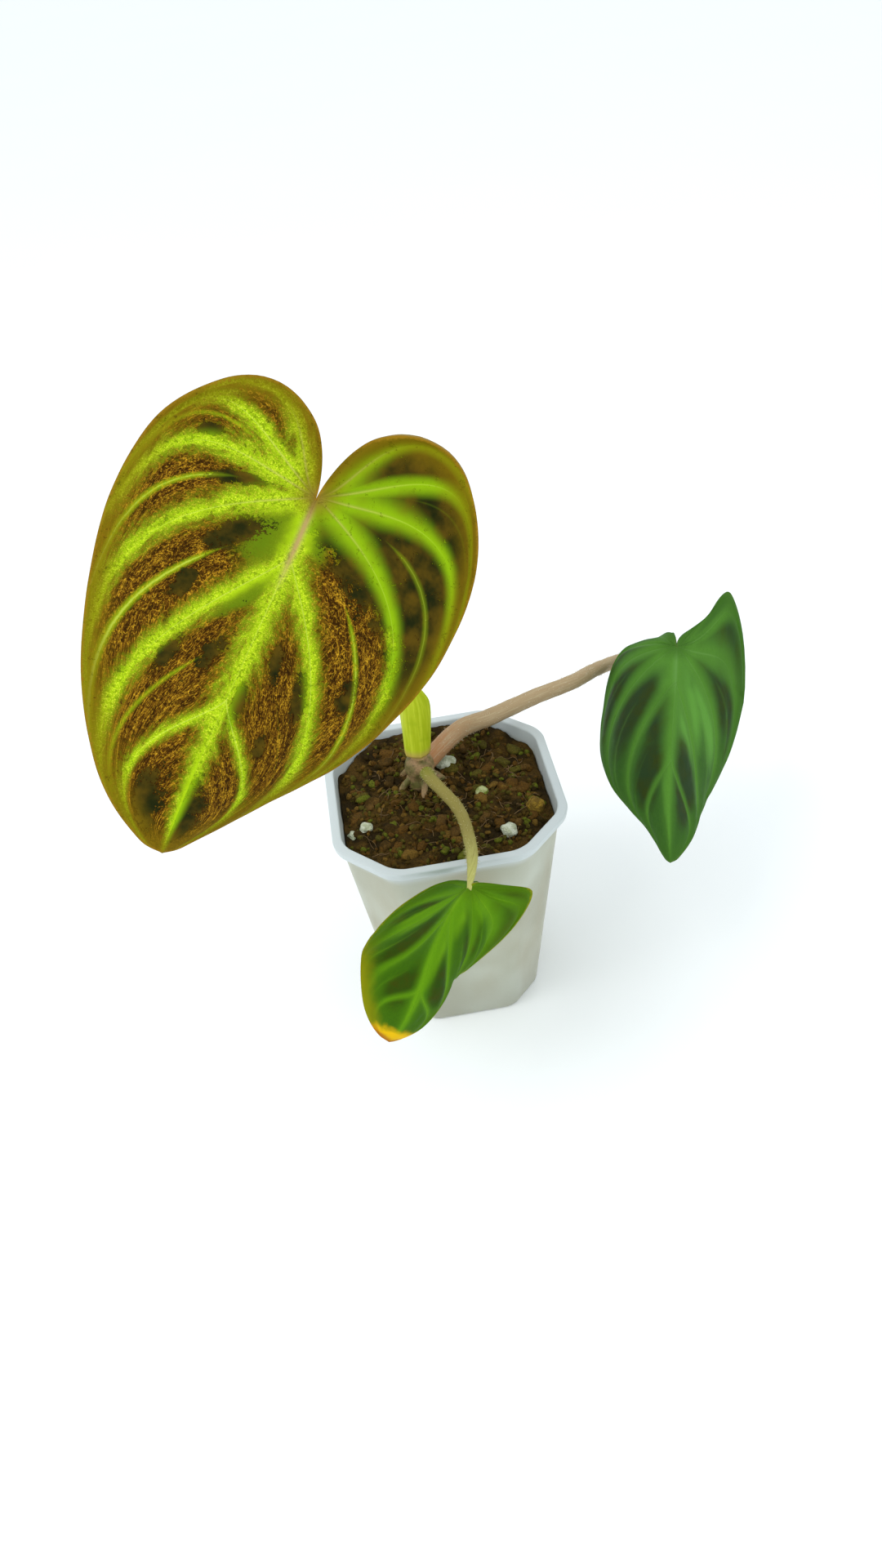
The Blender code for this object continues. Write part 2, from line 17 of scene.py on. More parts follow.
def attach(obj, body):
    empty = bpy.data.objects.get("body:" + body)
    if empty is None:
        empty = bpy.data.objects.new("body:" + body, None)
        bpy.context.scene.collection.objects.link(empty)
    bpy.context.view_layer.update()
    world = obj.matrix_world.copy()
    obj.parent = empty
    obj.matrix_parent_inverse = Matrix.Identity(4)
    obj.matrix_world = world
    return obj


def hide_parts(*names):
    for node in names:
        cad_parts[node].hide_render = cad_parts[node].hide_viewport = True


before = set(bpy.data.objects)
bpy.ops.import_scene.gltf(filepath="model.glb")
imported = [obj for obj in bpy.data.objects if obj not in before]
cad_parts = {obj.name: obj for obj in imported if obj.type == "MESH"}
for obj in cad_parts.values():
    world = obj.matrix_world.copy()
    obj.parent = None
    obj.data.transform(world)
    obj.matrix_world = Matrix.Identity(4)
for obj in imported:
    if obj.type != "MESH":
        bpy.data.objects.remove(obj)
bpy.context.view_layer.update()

MM = 0.001
SEED = 11
WELD = 0.000001

# The photograph's camera, in millimetres and degrees, for a frame of 1080 by 1920 points.
EYE = Vector((-19.5, -275.5, 317.0)) * MM
LOOK_ELEVATION = 40.5
LOOK_TURN = 4.0
LOOK_ROLL = -6.9
FOCAL_POINTS = 1471
FRAME_HEIGHT = 1920
SENSOR = 36

# The pot.
POT_HEIGHT = 0.080
POT_TOP = 0.066
POT_BASE = 0.047
POT_TOP_CUT = 0.0143
POT_WALL = 0.0008
POT_FLOOR = 0.0010
FOOT_ROUND = 0.0035
LIP_REACH = 0.0020
LIP_HEIGHT = 0.0026
DRAIN_HOLES = 8
DRAIN_RADIUS = 0.0024
DRAIN_CIRCLE = 0.0145

# The soil, and what lies in it.
SOIL_LEVEL = 0.0744
SOIL_MOUND = 0.0012
SOIL_BANK = 0.0038
BANK_START = 0.010
BANK_RUN = 0.020
CLEARANCE = 0.0003
SOIL_RINGS = (0.060, 0.030, FOOT_ROUND, POT_FLOOR + CLEARANCE)
FOOT_EASE = 0.0026
BARK_CHIPS = 22
CHIP_FIELD = 0.026
CHIP_SPACING = 0.0052
GRAINS = (
    ((0.0029, 0.0153), 0.0030, "perlite"),
    ((-0.0246, -0.0076), 0.0020, "perlite"),
    ((-0.0289, -0.0094), 0.0016, "perlite"),
    ((0.0118, -0.0010), 0.0021, "perlite"),
    ((0.0167, -0.0192), 0.0025, "perlite"),
    ((0.0266, -0.0099), 0.0028, "bark_nugget"),
)
GRAIN_FLATNESS = 0.8
GRAIN_LIFT = 0.15
MOSSY_GRAIN = 3
# Lumps strewn over the soil: their count, sizes in millimetres, flatness, faces round and up, and
# the share of its size that each stands proud.
BARK_LUMPS = (60, (3.2, 6.0), (0.3, 0.55), (18, 12), 0.05)
PEAT_LUMPS = (1300, (0.9, 2.5), (0.5, 0.95), (7, 5), 0.08)
HEAP = 30
FIBRES = 130
FIBRE_STEP = 0.0016

# The hairs of a stalk: the share of it, from its foot, that bears them, and their lengths in
# millimetres.
HAIRED_SHARE = 0.92
HAIR_LENGTHS = (0.5, 1.3)
HAIR_RADIUS = 0.000065

# The stem's heights and radii, and how far out and how high its roots run.
CROWN = Vector((-0.0054, 0.0094, 0.0))
STEM_PROFILE = (
    (0.0400, 0.0020), (0.0550, 0.0030), (0.0700, 0.0040), (0.0765, 0.0046),
    (0.0790, 0.0041), (0.0818, 0.0046), (0.0846, 0.0039), (0.0858, 0.0022),
)
ROOTS = 5
ROOT_START = -8
ROOT_RADIUS = 0.0008
ROOT_PATH = ((0.0, 0.0790), (0.0045, 0.0780), (0.0090, 0.0725), (0.0125, 0.0620), (0.0150, 0.0500))

# The sheath by the large leaf's stalk: height, how much of a tube it is in degrees, and radius.
SHEATH_PROFILE = (
    (0.0880, 215, 0.0031), (0.0945, 210, 0.0033), (0.1010, 190, 0.0036),
    (0.1070, 150, 0.0039), (0.1115, 90, 0.0042), (0.1140, 25, 0.0044),
)
SHEATH_WALL = 0.0009
SHEATH_SKIN = 0.7
SHEATH_FACES = 245
SHEATH_LEAN = (0.060, 0.100, 0.0)

# One half of a leaf seen flat, in midrib lengths: (out from the midrib, along it), notch to tip.
MARGIN = (
    (0.0, 0.0), (0.012, -0.09), (0.09, -0.18), (0.21, -0.21), (0.345, -0.155),
    (0.46, -0.02), (0.485, 0.205), (0.43, 0.46), (0.335, 0.70), (0.205, 0.885),
    (0.07, 0.985), (0.0, 1.0),
)
# Each rib's start along the midrib, two handles (out, along), and its end as a share of the margin.
RIBS = (
    (0.00, 0.005, -0.06, 0.030, -0.130, 0.100),
    (0.00, 0.085, -0.04, 0.100, -0.300, 0.275),
    (0.00, 0.195, -0.085, 0.395, -0.290, 0.440),
    (0.00, 0.210, -0.015, 0.450, -0.135, 0.510),
    (0.00, 0.200, 0.115, 0.550, 0.225, 0.775),
    (0.19, 0.090, 0.34, 0.390, 0.625, 0.880),
    (0.60, 0.020, 0.67, 0.310, 0.815, 0.980),
    (1.00, 0.000, 1.00, 0.000, 1.000, 1.000),
)
TIP = len(RIBS) - 1
# In midrib lengths: a lobe, where the folds start and how far apart they are set, and the joint.
LOBE_LENGTH = 0.22
FOLD_START = -0.2
FOLD_SPAN = 0.6
JOINT_SHARE = 0.035
# How far from the midrib, in metres, both halves share one way up.
CREST = 0.0022

# midrib: the notch, two handles and the tip, in millimetres. faces: which way the blade faces at
# its base and at its tip. For the left and right half: folds are its angles to the blade's plane
# at the lobe, the middle and the tip, widths are against the flat outline's, curls bend it
# outwards, and lobes roll it back behind the notch. part: how far the lobes part there. bands: how
# wide its light bands are against the large leaf's. steps and columns divide the blade.
LEAVES = {
    "large": {
        "midrib": (
            (-21.9, -36.4, 198.3), (-34.8, -58.0, 186.3),
            (-46.2, -89.5, 185.5), (-64.2, -93.1, 154.9),
        ),
        "faces": ((0.22, -0.69, 0.69), (0.22, -0.69, 0.69)),
        "folds": ((5, -11, -3.5), (18, -12, -42)),
        "widths": (0.93, 0.98),
        "curls": (2.5, -29),
        "lobes": (-28, -78),
        "part": 0.0,
        "bands": 1.0,
        "steps": 84,
        "columns": 26,
    },
    "right": {
        "midrib": (
            (78.7, 22.1, 102.0), (71.5, -0.8, 95.9),
            (61.1, -27.7, 102.4), (57.9, -43.6, 75.7),
        ),
        "faces": ((-0.54, -0.16, 0.83), (-0.42, -0.22, 0.88)),
        "folds": ((1, 0, -43), (-51, -78, -72)),
        "widths": (0.92, 0.95),
        "curls": (-59, -26),
        "lobes": (69, 91),
        "part": 0.0,
        "bands": 1.25,
        "steps": 60,
        "columns": 20,
    },
    "front": {
        "midrib": (
            (0.3, -54.1, 91.6), (-13.5, -71.1, 96.1),
            (-15.3, -89.2, 89.0), (-27.3, -80.1, 65.6),
        ),
        "faces": ((-0.52, -0.26, 0.81), (0.29, -0.81, 0.50)),
        "folds": ((-36, -54, -29), (-55, -51, -9)),
        "widths": (0.93, 0.87),
        "curls": (46, -62),
        "lobes": (84, 54),
        "part": 0.15,
        "bands": 1.25,
        "steps": 50,
        "columns": 16,
    },
}
LARGE_MIDRIB = 87.0

# Half widths of the light bands, in millimetres: along each rib by number, and along the midrib.
RIB_BANDS = (1.4, 1.5, 2.1, 2.4, 2.7, 2.6, 1.3, 1.0)
MIDRIB_BAND = ((-0.2, 1.6), (0.0, 2.0), (0.2, 3.0), (0.5, 3.0), (0.7, 2.5), (0.9, 1.3), (1.0, 0.6))
# How strong the thin rib halfway through each rib field is, on the left and right half.
THIN_RIBS = ((0.0, 0.15, 0.7, 0.9, 1.0, 0.7, 0.2), (0.0, 0.1, 0.4, 0.9, 0.9, 0.3, 0.1))
# Places where a blade's face is smooth and dark between its ribs, and smooth lighter ones of
# painted
# sheen, on its left and right half: their rib and reach, and their size in each.
DARK_PLACES = {
    "large": (
        (
            (3.50, 0.30, 0.13, 0.11), (4.36, 0.26, 0.16, 0.11), (2.78, 0.52, 0.10, 0.06),
            (4.66, 0.44, 0.10, 0.05), (5.22, 0.48, 0.12, 0.06), (5.50, 0.28, 0.10, 0.06),
            (6.46, 0.60, 0.22, 0.22),
        ),
        (
            (6.70, 0.26, 0.24, 0.34), (5.18, 0.44, 0.13, 0.06), (4.58, 0.56, 0.10, 0.05),
            (5.42, 0.24, 0.10, 0.05), (5.90, 0.16, 0.12, 0.06), (5.78, 0.44, 0.10, 0.05),
        ),
    ),
    "right": (
        (
            (4.50, 0.36, 0.34, 0.26), (5.30, 0.18, 0.40, 0.16), (5.75, 0.38, 0.42, 0.26),
            (3.50, 0.55, 0.30, 0.36), (2.40, 0.60, 0.30, 0.36),
        ),
        (
            (5.70, 0.40, 0.40, 0.24), (6.10, 0.43, 0.40, 0.20), (3.60, 0.36, 0.36, 0.26),
            (3.15, 0.66, 0.40, 0.30), (2.55, 0.48, 0.30, 0.26),
        ),
    ),
    "front": (
        (
            (4.68, 0.38, 0.30, 0.28), (4.80, 0.64, 0.26, 0.26), (5.82, 0.37, 0.34, 0.24),
            (3.40, 0.50, 0.25, 0.30),
        ),
        (
            (4.02, 0.36, 0.40, 0.26), (2.54, 0.50, 0.45, 0.32), (1.60, 0.62, 0.50, 0.34),
            (5.50, 0.44, 0.44, 0.20),
        ),
    ),
}
# The patches of painted sheen: smooth and lighter green.
SHEEN_PLACES = {
    "large": (
        (
            (4.50, 0.12, 0.36, 0.15), (5.12, 0.18, 0.12, 0.14), (6.60, 0.04, 0.30, 0.12),
        ),
        (
            (4.50, 0.06, 0.16, 0.10),
        ),
    ),
    "right": (
        (
            (4.55, 0.06, 1.20, 0.10), (6.20, 0.10, 0.50, 0.12),
        ),
        (
            (4.95, 0.22, 0.60, 0.22), (4.26, 0.36, 0.30, 0.24), (4.30, 0.08, 1.60, 0.10),
        ),
    ),
    "front": (
        (
            (5.94, 0.04, 0.60, 0.10), (3.90, 0.30, 0.40, 0.30),
        ),
        (
            (5.06, 0.12, 0.80, 0.14), (5.60, 0.08, 0.60, 0.12), (4.40, 0.10, 0.90, 0.12),
            (3.40, 0.16, 0.90, 0.14),
        ),
    ),
}
# The right half is smooth up to this rib, which falls from the midrib outwards.
SMOOTH_EDGE = (
    (0.0, 4.5), (0.1, 4.42), (0.26, 4.46), (0.38, 4.27), (0.56, 4.03), (0.66, 3.96), (1.0, 3.8),
)

# Thicknesses of a blade, in millimetres: its flesh, and what its ribs and midrib add underneath.
BLADE_FLESH = 0.55
RIB_DEPTH = 0.5
THIN_RIB_DEPTH = 0.12
MIDRIB_DEPTH = 1.25
BLADE_DEEPEST = 2.0
# The relief of its face, in millimetres: the quilting between the ribs, the grooves along them, the
# puckers of its ground and the waves of its margin.
QUILTING = 0.6
RIB_GROOVE = 0.28
THIN_RIB_GROOVE = 0.10
MIDRIB_GROOVE = 0.5
PUCKERS = 0.16
WAVES = 0.35
# What the finishes read at each of a blade's points.
LEAF_READS = ("vein", "line", "thin", "edge", "flesh", "dark", "sheen", "along", "side")

# The light that comes from all round, and the lamps: name, place, size, power and colour.
SKY = ("F7FCFF", 1.04)
LAMPS = (
    ("key", (-0.55, -0.35, 0.95), 0.55, 3.4, "FFFFFF"),
    ("fill", (0.7, -0.6, 0.7), 0.7, 1.2, "F4FAFF"),
)
LAMP_AIM = (0, 0, 0.1)
FLOOR_HALF = 6.0

# Each leaf's stalk: its path from the stem, in millimetres, its radius at each point and the joint,
# how far under the blade's face it ends, and how many hairs it has.
PETIOLES = {
    "large": {
        "path": (
            (-5.4, 9.4, 80.0), (-5.2, 9.8, 90.0), (-4.2, 11.3, 106.0), (-6.5, 7.5, 145.0),
            (-12.9, -13.1, 182.0),
        ),
        "radii": (0.0026, 0.0026, 0.0025, 0.0023, 0.0021, 0.0016),
        "depth": 0.0016,
        "hairs": 1100,
    },
    "right": {
        "path": (
            (-5.4, 9.4, 80.5), (8.2, 19.0, 85.2), (19.1, 20.7, 87.3), (33.1, 25.2, 88.5),
            (47.5, 30.8, 88.0), (56.8, 39.7, 84.6), (66.0, 47.2, 81.2), (73.9, 47.0, 82.4),
            (78.6, 39.0, 88.0), (79.8, 29.0, 95.5),
        ),
        "radii": (
            0.0029, 0.0029, 0.0027, 0.0025, 0.0024, 0.0023, 0.0022, 0.0021, 0.0020, 0.0016, 0.0008,
        ),
        "depth": 0.0023,
        "hairs": 1100,
    },
    "front": {
        "path": (
            (-5.4, 9.4, 80.0), (-3.7, 4.3, 82.5), (-3.0, -1.3, 84.5), (2.8, -17.2, 85.0),
            (3.5, -34.0, 87.2), (2.4, -44.6, 89.4),
        ),
        "radii": (0.0021, 0.0020, 0.0019, 0.0018, 0.0017, 0.0014, 0.0006),
        "depth": 0.0016,
        "hairs": 550,
    },
}


# ---------------------------------------------------------------- finishes


class Value:
    """A socket of a finish's nodes, so that sums on it are written as sums."""

    def __init__(self, finish, socket):
        self.finish, self.socket = finish, socket

    def sum(self, operation, first, second):
        return self.finish.add("ShaderNodeMath", {"operation": operation}, {0: first, 1: second})

    def __add__(self, other):
        return self.sum("ADD", self, other)

    def __radd__(self, other):
        return self.sum("ADD", other, self)

    def __sub__(self, other):
        return self.sum("SUBTRACT", self, other)

    def __rsub__(self, other):
        return self.sum("SUBTRACT", other, self)

    def __mul__(self, other):
        return self.sum("MULTIPLY", self, other)

    def __rmul__(self, other):
        return self.sum("MULTIPLY", other, self)


class Finish:
    """A material and its nodes."""

    def __init__(self, name, **constants):
        self.material = bpy.data.materials.new(name)
        self.material.use_nodes = True
        self.tree = self.material.node_tree
        self.shader = self.tree.nodes["Principled BSDF"]
        for socket, value in constants.items():
            self.shader.inputs[socket.replace("_", " ")].default_value = value

    def add(self, kind, settings=None, sockets=None, out=0):
        node = self.tree.nodes.new(kind)
        for name, setting in (settings or {}).items():
            setattr(node, name, setting)
        for key, value in (sockets or {}).items():
            self.put(node.inputs[key], value)
        return Value(self, node.outputs[out])

    def put(self, socket, value):
        if isinstance(value, Value):
            self.tree.links.new(value.socket, socket)
        else:
            socket.default_value = value

    def surface(self, face, roughness=0.5, height=None, depth=0.0):
        """Sets the surface's colour, roughness and relief, and gives back the material."""
        self.put(self.shader.inputs["Base Color"], face)
        self.put(self.shader.inputs["Roughness"], roughness)
        if height is not None:
            bump = self.add("ShaderNodeBump", sockets={"Height": height, "Distance": depth})
            self.put(self.shader.inputs["Normal"], bump)
        return self.material

    def place(self):
        return self.add("ShaderNodeTexCoord", out="Object")

    def chart(self, name):
        return self.add("ShaderNodeUVMap", {"uv_map": name})

    def number(self, name):
        return self.add("ShaderNodeAttribute", {"attribute_name": name}, out="Fac")

    def stretch(self, where, scale):
        return self.add("ShaderNodeMapping", sockets={"Vector": where, "Scale": scale})

    def axis(self, where, name):
        return self.add("ShaderNodeSeparateXYZ", sockets={0: where}, out=name)

    def noise(self, where, scale, detail=2.0, roughness=0.5, distortion=0.0):
        sockets = {"Vector": where, "Scale": scale, "Detail": detail}
        sockets |= {"Roughness": roughness, "Distortion": distortion}
        return self.add("ShaderNodeTexNoise", sockets=sockets, out="Fac")

    def cells(self, where, scale, feature="F1"):
        sockets = {"Vector": where, "Scale": scale}
        return self.add("ShaderNodeTexVoronoi", {"feature": feature}, sockets, out="Distance")

    def rise(self, value, low, high):
        """0 at low and 1 at high, smoothly between; low may be the larger."""
        sockets = {"Value": value, "From Min": low, "From Max": high}
        return self.add("ShaderNodeMapRange", {"interpolation_type": "SMOOTHSTEP"}, sockets)

    def blend(self, amount, first, second):
        """A mix of two colours, each a blend or a six-figure code."""
        first, second = (colour(c) if isinstance(c, str) else c for c in (first, second))
        settings = {"data_type": "RGBA", "clamp_factor": True}
        return self.add("ShaderNodeMix", settings, {0: amount, 6: first, 7: second}, out=2)

    def lay(self, face, *coats):
        """Lays coats over a face: how much of each, and its colour."""
        for amount, coat in coats:
            face = self.blend(amount, face, coat)
        return face


def colour(code):
    """Linear red, green, blue and alpha from a six-figure colour code."""
    parts = [int(code[i : i + 2], 16) / 255 for i in (0, 2, 4)]
    linear = [c / 12.92 if c <= 0.04045 else ((c + 0.055) / 1.055) ** 2.4 for c in parts]
    return (*linear, 1.0)


# The colours of the large, the right and the front leaf.
PAINTS = {
    "band": ("A4C612", "50802C", "5C8C12"),
    # The bands' light grit: partly the velvet's own specks, partly painted glints.
    "band_grit_and_glint": ("DCEC38", "5C8C34", "6A9814"),
    "band_low": ("6A800C", "436C26", "46740E"),
    "band_still": ("80A80E", "4B7A2A", "54840E"),
    "line": ("C8D850", "6A944A", "74A01C"),
    "olive": ("7C6C0A", "406A26", "40680C"),
    "ground": ("6E450C", "3A6022", "3C640C"),
    "deep": ("2A1803", "335822", "365C0C"),
    # Golden specks and net lines: partly the velvet's own pattern, partly painted glints.
    "fleck_and_glint": ("D4A426", "44702A", "466E0E"),
    "dark": ("1C210A", "2A3E22", "2A480C"),
    "dark_warm": ("5A460E", "323E16", "38420A"),
    # The smooth lighter green painted where the velvet's sheen falls.
    "sheen": ("5E760C", "5A9036", "66960E"),
    "margin": ("786208", "3C6420", "4A6C0E"),
    "rim": ("96701A", "4E6C2C", "8E8C14"),
    "midrib": ("B49A60", "66944A", "74A01E"),
    "under": ("86A04A", "7FA05A", "8AA850"),
    "under_ground": ("6A3A34", "63493E", "6A5236"),
}
# The colours of each stalk: its foot, middle, top and streaks, and its hairs' feet and ends.
STALK_PAINTS = {
    "large": ("B99A6A", "9A9A48", "8CA83A", "A88A5A", "B08A62", "C9C08A"),
    "right": ("B07E54", "AC9470", "CABF9E", "C2B290", "C2AE8C", "E2DAC6"),
    "front": ("7E8E16", "8E8242", "B9B868", "86803C", "B0A066", "D0C890"),
}


def tints_of(name):
    """A leaf's colours by their names."""
    number = list(LEAVES).index(name)
    return {key: codes[number] for key, codes in PAINTS.items()}


def leaf_top(name, tint):
    """Velvet: light bands along its ribs, and between them speckled or smooth ground; its specks
    are partly painted glints, and patches of painted sheen lie on it.
    """
    f = Finish(f"{name}_velvet", Specular_IOR_Level=0.02)
    speckled = name == "large"
    flat, field = f.chart("flat"), f.chart("field")
    grit = f.noise(flat, 3.0, 3.0, 0.68)
    crumbs = f.noise(flat, 1.1, 5.0, 0.66)
    blotch = f.noise(flat, 0.15, 3.0, 0.55)
    strokes = f.noise(f.stretch(field, (2.6, 1.3, 1.0)), 1.0, 5.0, 0.74, 0.8)
    net = f.cells(f.stretch(field, (1.5, 0.75, 1.0)), 1.0, "DISTANCE_TO_EDGE")
    ragged = (grit - 0.5) * 0.5 + (crumbs - 0.5) * 0.7
    patchy = f.noise(f.stretch(field, (0.5, 0.22, 1.0)), 1.0, 3.0, 0.6, 0.4) - 0.5
    # The smooth dark places, and the smooth patches of painted sheen.
    vein, dark, sheen = f.number("vein"), f.number("dark"), f.number("sheen")
    if speckled:
        wander = (f.noise(flat, 0.32, 3.0, 0.6, 0.5) - 0.5) * 1.6
        dark_here = f.rise(dark + ragged * 3.0 + wander * 1.2, 0.46, 0.60)
        sheen_here = f.rise(sheen + ragged * 1.2 + wander * 0.5, 0.2, 1.0)
        rough = (1 - dark_here) * (1 - sheen_here * 0.85)
        reach = vein + ragged * rough * 3.4 + (blotch - 0.5) * 0.6 + patchy * rough * 2.2
        band = f.rise(reach, 1.75 - dark_here * 0.35, 0.25 - dark_here * 0.3)
    else:
        dark_here = f.rise(dark + (blotch - 0.5) * 0.5, 0.1, 0.95)
        sheen_here = f.rise(sheen + (blotch - 0.5) * 0.3, 0.05, 1.0)
        rough = 0.25
        reach = vein + ragged * 0.25 + (blotch - 0.5) * 0.4
        band = f.rise(reach, 1.6, 0.1) * 0.85
    # The ground: dark brown with strokes, patches and a net of golden specks, partly its own
    # pattern and partly painted glints, or smooth.
    fleck_and_glint = f.rise(strokes * 0.5 + grit * 0.3 - patchy * 0.3, 0.41, 0.53)
    mesh = f.rise(net, 0.08, 0.0) * f.rise(crumbs, 0.44, 0.58)
    warmth = f.rise(blotch + (crumbs - 0.5) * 0.08, 0.32, 0.74)
    ground = f.lay(
        tint["deep"],
        (f.rise(strokes, 0.38, 0.60), tint["ground"]),
        (f.rise(crumbs, 0.52, 0.40) * 0.7 * rough, tint["deep"]),
        (f.rise(patchy, 0.0, 0.16) * 0.65 * rough, tint["deep"]),
        ((fleck_and_glint * 0.75 + mesh * 0.65) * rough, tint["fleck_and_glint"]),
        (f.rise(reach, 2.3, 0.9) * 0.45, tint["olive"]),
        # Painted sheen: smooth, lighter green patches laid over the ground.
        (sheen_here, tint["sheen"]),
        (dark_here, f.blend(warmth, tint["dark"], tint["dark_warm"])),
    )
    # The bands, bright and gritty on the speckled face: their light grit is partly the velvet's own
    # and partly painted glints.
    bright = f.lay(
        tint["band_low"],
        (f.rise(reach, 1.0, 0.1), tint["band"]),
        (f.rise(crumbs + patchy * 0.3, 0.50, 0.40) * rough * 0.7, tint["band_low"]),
        (f.rise(grit * 0.7 + crumbs * 0.3, 0.50, 0.60) * rough, tint["band_grit_and_glint"]),
        (dark_here * 0.8, tint["band_still"]),
    )
    # Over both: the thin ribs, each rib's pale line, the midrib's flesh, the margin and its rim.
    thin = f.number("thin") + ragged * rough * 1.8
    strength = (1 - dark_here * 0.55) * (0.55 if speckled else 0.25)
    edge = f.number("edge") + ragged * 2.5
    face = f.lay(
        ground,
        (band, bright),
        (f.rise(thin, 2.6, 0.3) * strength, tint["band"]),
        (f.rise(thin, 0.7, 0.15) * strength, tint["line"]),
        (f.rise(f.number("line") + ragged * 0.4, 1.1, 0.2) * strength, tint["line"]),
        (f.number("flesh") * (1.0 if speckled else 0.5), tint["midrib"]),
        (f.rise(edge, 7.5, 0.6) * 0.8, tint["margin"]),
        (f.rise(edge, 0.8, 0.1) * 0.8, tint["rim"]),
    )
    relief = (grit * 0.6 + strokes * 0.5 + crumbs * 0.5) * (0.2 + 0.8 * rough)
    return f.surface(yellowing(name, f, face), 0.54 + (grit - 0.5) * 0.3, relief, 0.0002)


def yellowing(name, f, face):
    """The old front leaf's tip: yellow, brown at the very end, and olive up one margin."""
    if name != "front":
        return face
    along, side = f.number("along"), f.number("side")
    wander = (f.noise(f.chart("flat"), 0.3, 3.0) - 0.5) * 0.1
    left = f.rise(f.number("edge") + wander * 20, 5.0, 0.2) * f.rise(side, 0.0, -0.25)
    return f.lay(
        face,
        (left * f.rise(along, 0.25, 0.7) * 0.85, "83820C"),
        (f.rise(along + wander - side * side * 1.1, 0.84, 0.92), "DDB20C"),
        (f.rise(along + wander * 0.4 - side * 0.06, 0.94, 0.985), "A86C16"),
    )


def leaf_under(name, tint):
    """A leaf's paler underside, red between its ribs."""
    f = Finish(f"{name}_underside", Specular_IOR_Level=0.12)
    grit = f.noise(f.chart("flat"), 1.6, 4.0, 0.6)
    net = f.cells(f.stretch(f.chart("field"), (1.0, 0.5, 1.0)), 1.0, "DISTANCE_TO_EDGE")
    face = f.lay(
        tint["under_ground"],
        (f.rise(net, 0.09, 0.0) * 0.5, tint["under"]),
        (f.rise(grit, 0.4, 0.7) * 0.35, tint["under"]),
        (f.rise(f.number("vein") + (grit - 0.5) * 0.6, 0.95, 0.1), tint["under"]),
        (f.rise(f.number("thin"), 1.1, 0.2) * 0.7, tint["under"]),
        (f.rise(f.number("line"), 2.2, 0.5) * 0.8, "B9C887"),
        (f.rise(f.number("edge"), 3.0, 0.4) * 0.6, tint["margin"]),
    )
    return f.surface(yellowing(name, f, face), 0.5 + (grit - 0.5) * 0.2, grit, 0.00012)


def leaf_edge(name, tint):
    """The edge of a blade."""
    f = Finish(f"{name}_edge")
    grit = f.noise(f.chart("flat"), 0.9, 3.0)
    face = f.blend(grit, tint["margin"], tint["rim"])
    return f.surface(yellowing(name, f, face), 0.55 + grit * 0.1)


def stalk_finish(name):
    """A leaf stalk: its colour changes along it, with fine lengthwise streaks."""
    foot, middle, top, stripe = STALK_PAINTS[name][:4]
    f = Finish(f"{name}_skin", Specular_IOR_Level=0.18)
    along, chart = f.number("along"), f.chart("skin")
    streak = f.noise(f.stretch(chart, (2.2, 0.12, 1.0)), 1.0, 3.0, 0.6)
    mottle = f.noise(chart, 0.6, 4.0, 0.6)
    face = f.lay(
        foot,
        (f.rise(along + (mottle - 0.5) * 0.12, 0.02, 0.22), middle),
        (f.rise(along, 0.55, 0.98), top),
        (f.rise(streak, 0.45, 0.7) * 0.5, stripe),
        (f.rise(mottle, 0.62, 0.75) * 0.3, "6B4A30"),
    )
    return f.surface(face, 0.5 + mottle * 0.2, streak + mottle * 0.5, 0.00012)


def hair_finish(name):
    f = Finish(f"{name}_hairs", Specular_IOR_Level=0.15)
    return f.surface(f.blend(f.number("tint"), *STALK_PAINTS[name][4:]))


def sheath_finish():
    f = Finish("sheath_skin", Specular_IOR_Level=0.12)
    along, chart = f.number("along"), f.chart("skin")
    ribs = f.noise(f.stretch(chart, (1.6, 0.06, 1.0)), 1.0, 3.0, 0.6)
    mottle = f.noise(chart, 0.25, 3.0)
    face = f.lay(
        "AEBE1C",
        (f.rise(ribs, 0.4, 0.65), "C2D030"),
        (f.rise(mottle, 0.5, 0.75) * 0.5, "9CB214"),
        (f.rise(along, 0.9, 1.0) * 0.7, "B59A3A"),
        (f.rise(along, 0.1, 0.0) * 0.6, "C08A60"),
    )
    return f.surface(face, 0.42 + mottle * 0.15, ribs, 0.0002)


def stem_finish():
    f = Finish("stem_skin")
    place = f.place()
    coarse, fine = f.noise(place, 260.0, 3.0), f.noise(place, 1400.0, 4.0, 0.65)
    face = f.blend(f.rise(coarse, 0.35, 0.65), "5E5A22", "A08058")
    face = f.blend(f.rise(fine, 0.5, 0.7) * 0.6, face, "3C2C18")
    return f.surface(face, 0.6 + fine * 0.2, coarse + fine * 0.5, 0.0003)


def soil_finish(name, base, dark, tints=()):
    """Damp mix: dark, with a tint for each crumb, and finer grit on all of them."""
    f = Finish(name, Specular_IOR_Level=0.1)
    place, tint = f.place(), f.number("tint")
    coarse, fine = f.noise(place, 130.0, 3.0, 0.6), f.noise(place, 2200.0, 4.0, 0.7)
    face = f.blend(f.rise(coarse, 0.4, 0.62), dark, base)
    for low, high, code in tints:
        inside = f.rise(tint, low, low + 0.01) * f.rise(tint, high + 0.01, high)
        face = f.blend(inside * 0.85, face, code)
    face = f.blend(f.rise(fine, 0.6, 0.35) * 0.55, face, "120C05")
    face = f.blend(f.rise(fine, 0.62, 0.78) * 0.35, face, "8A6A3C")
    return f.surface(face, 0.8 + fine * 0.15, fine + coarse, 0.0004)


def straw_finish():
    f = Finish("fibre_straw")
    mottle = f.noise(f.place(), 400.0, 3.0)
    return f.surface(f.blend(mottle, "4A3218", "8A6E40"), 0.8 + mottle * 0.1)


def grain_finish(name, light, shade, pit):
    f = Finish(name, Specular_IOR_Level=0.3)
    place = f.place()
    lumps, pores = f.noise(place, 500.0, 3.0), f.cells(place, 2600.0)
    face = f.blend(f.rise(lumps, 0.4, 0.65), shade, light)
    face = f.blend(f.rise(pores, 0.32, 0.12) * 0.6, face, pit)
    return f.surface(face, 0.85 + lumps * 0.1, pores + lumps, 0.0003)


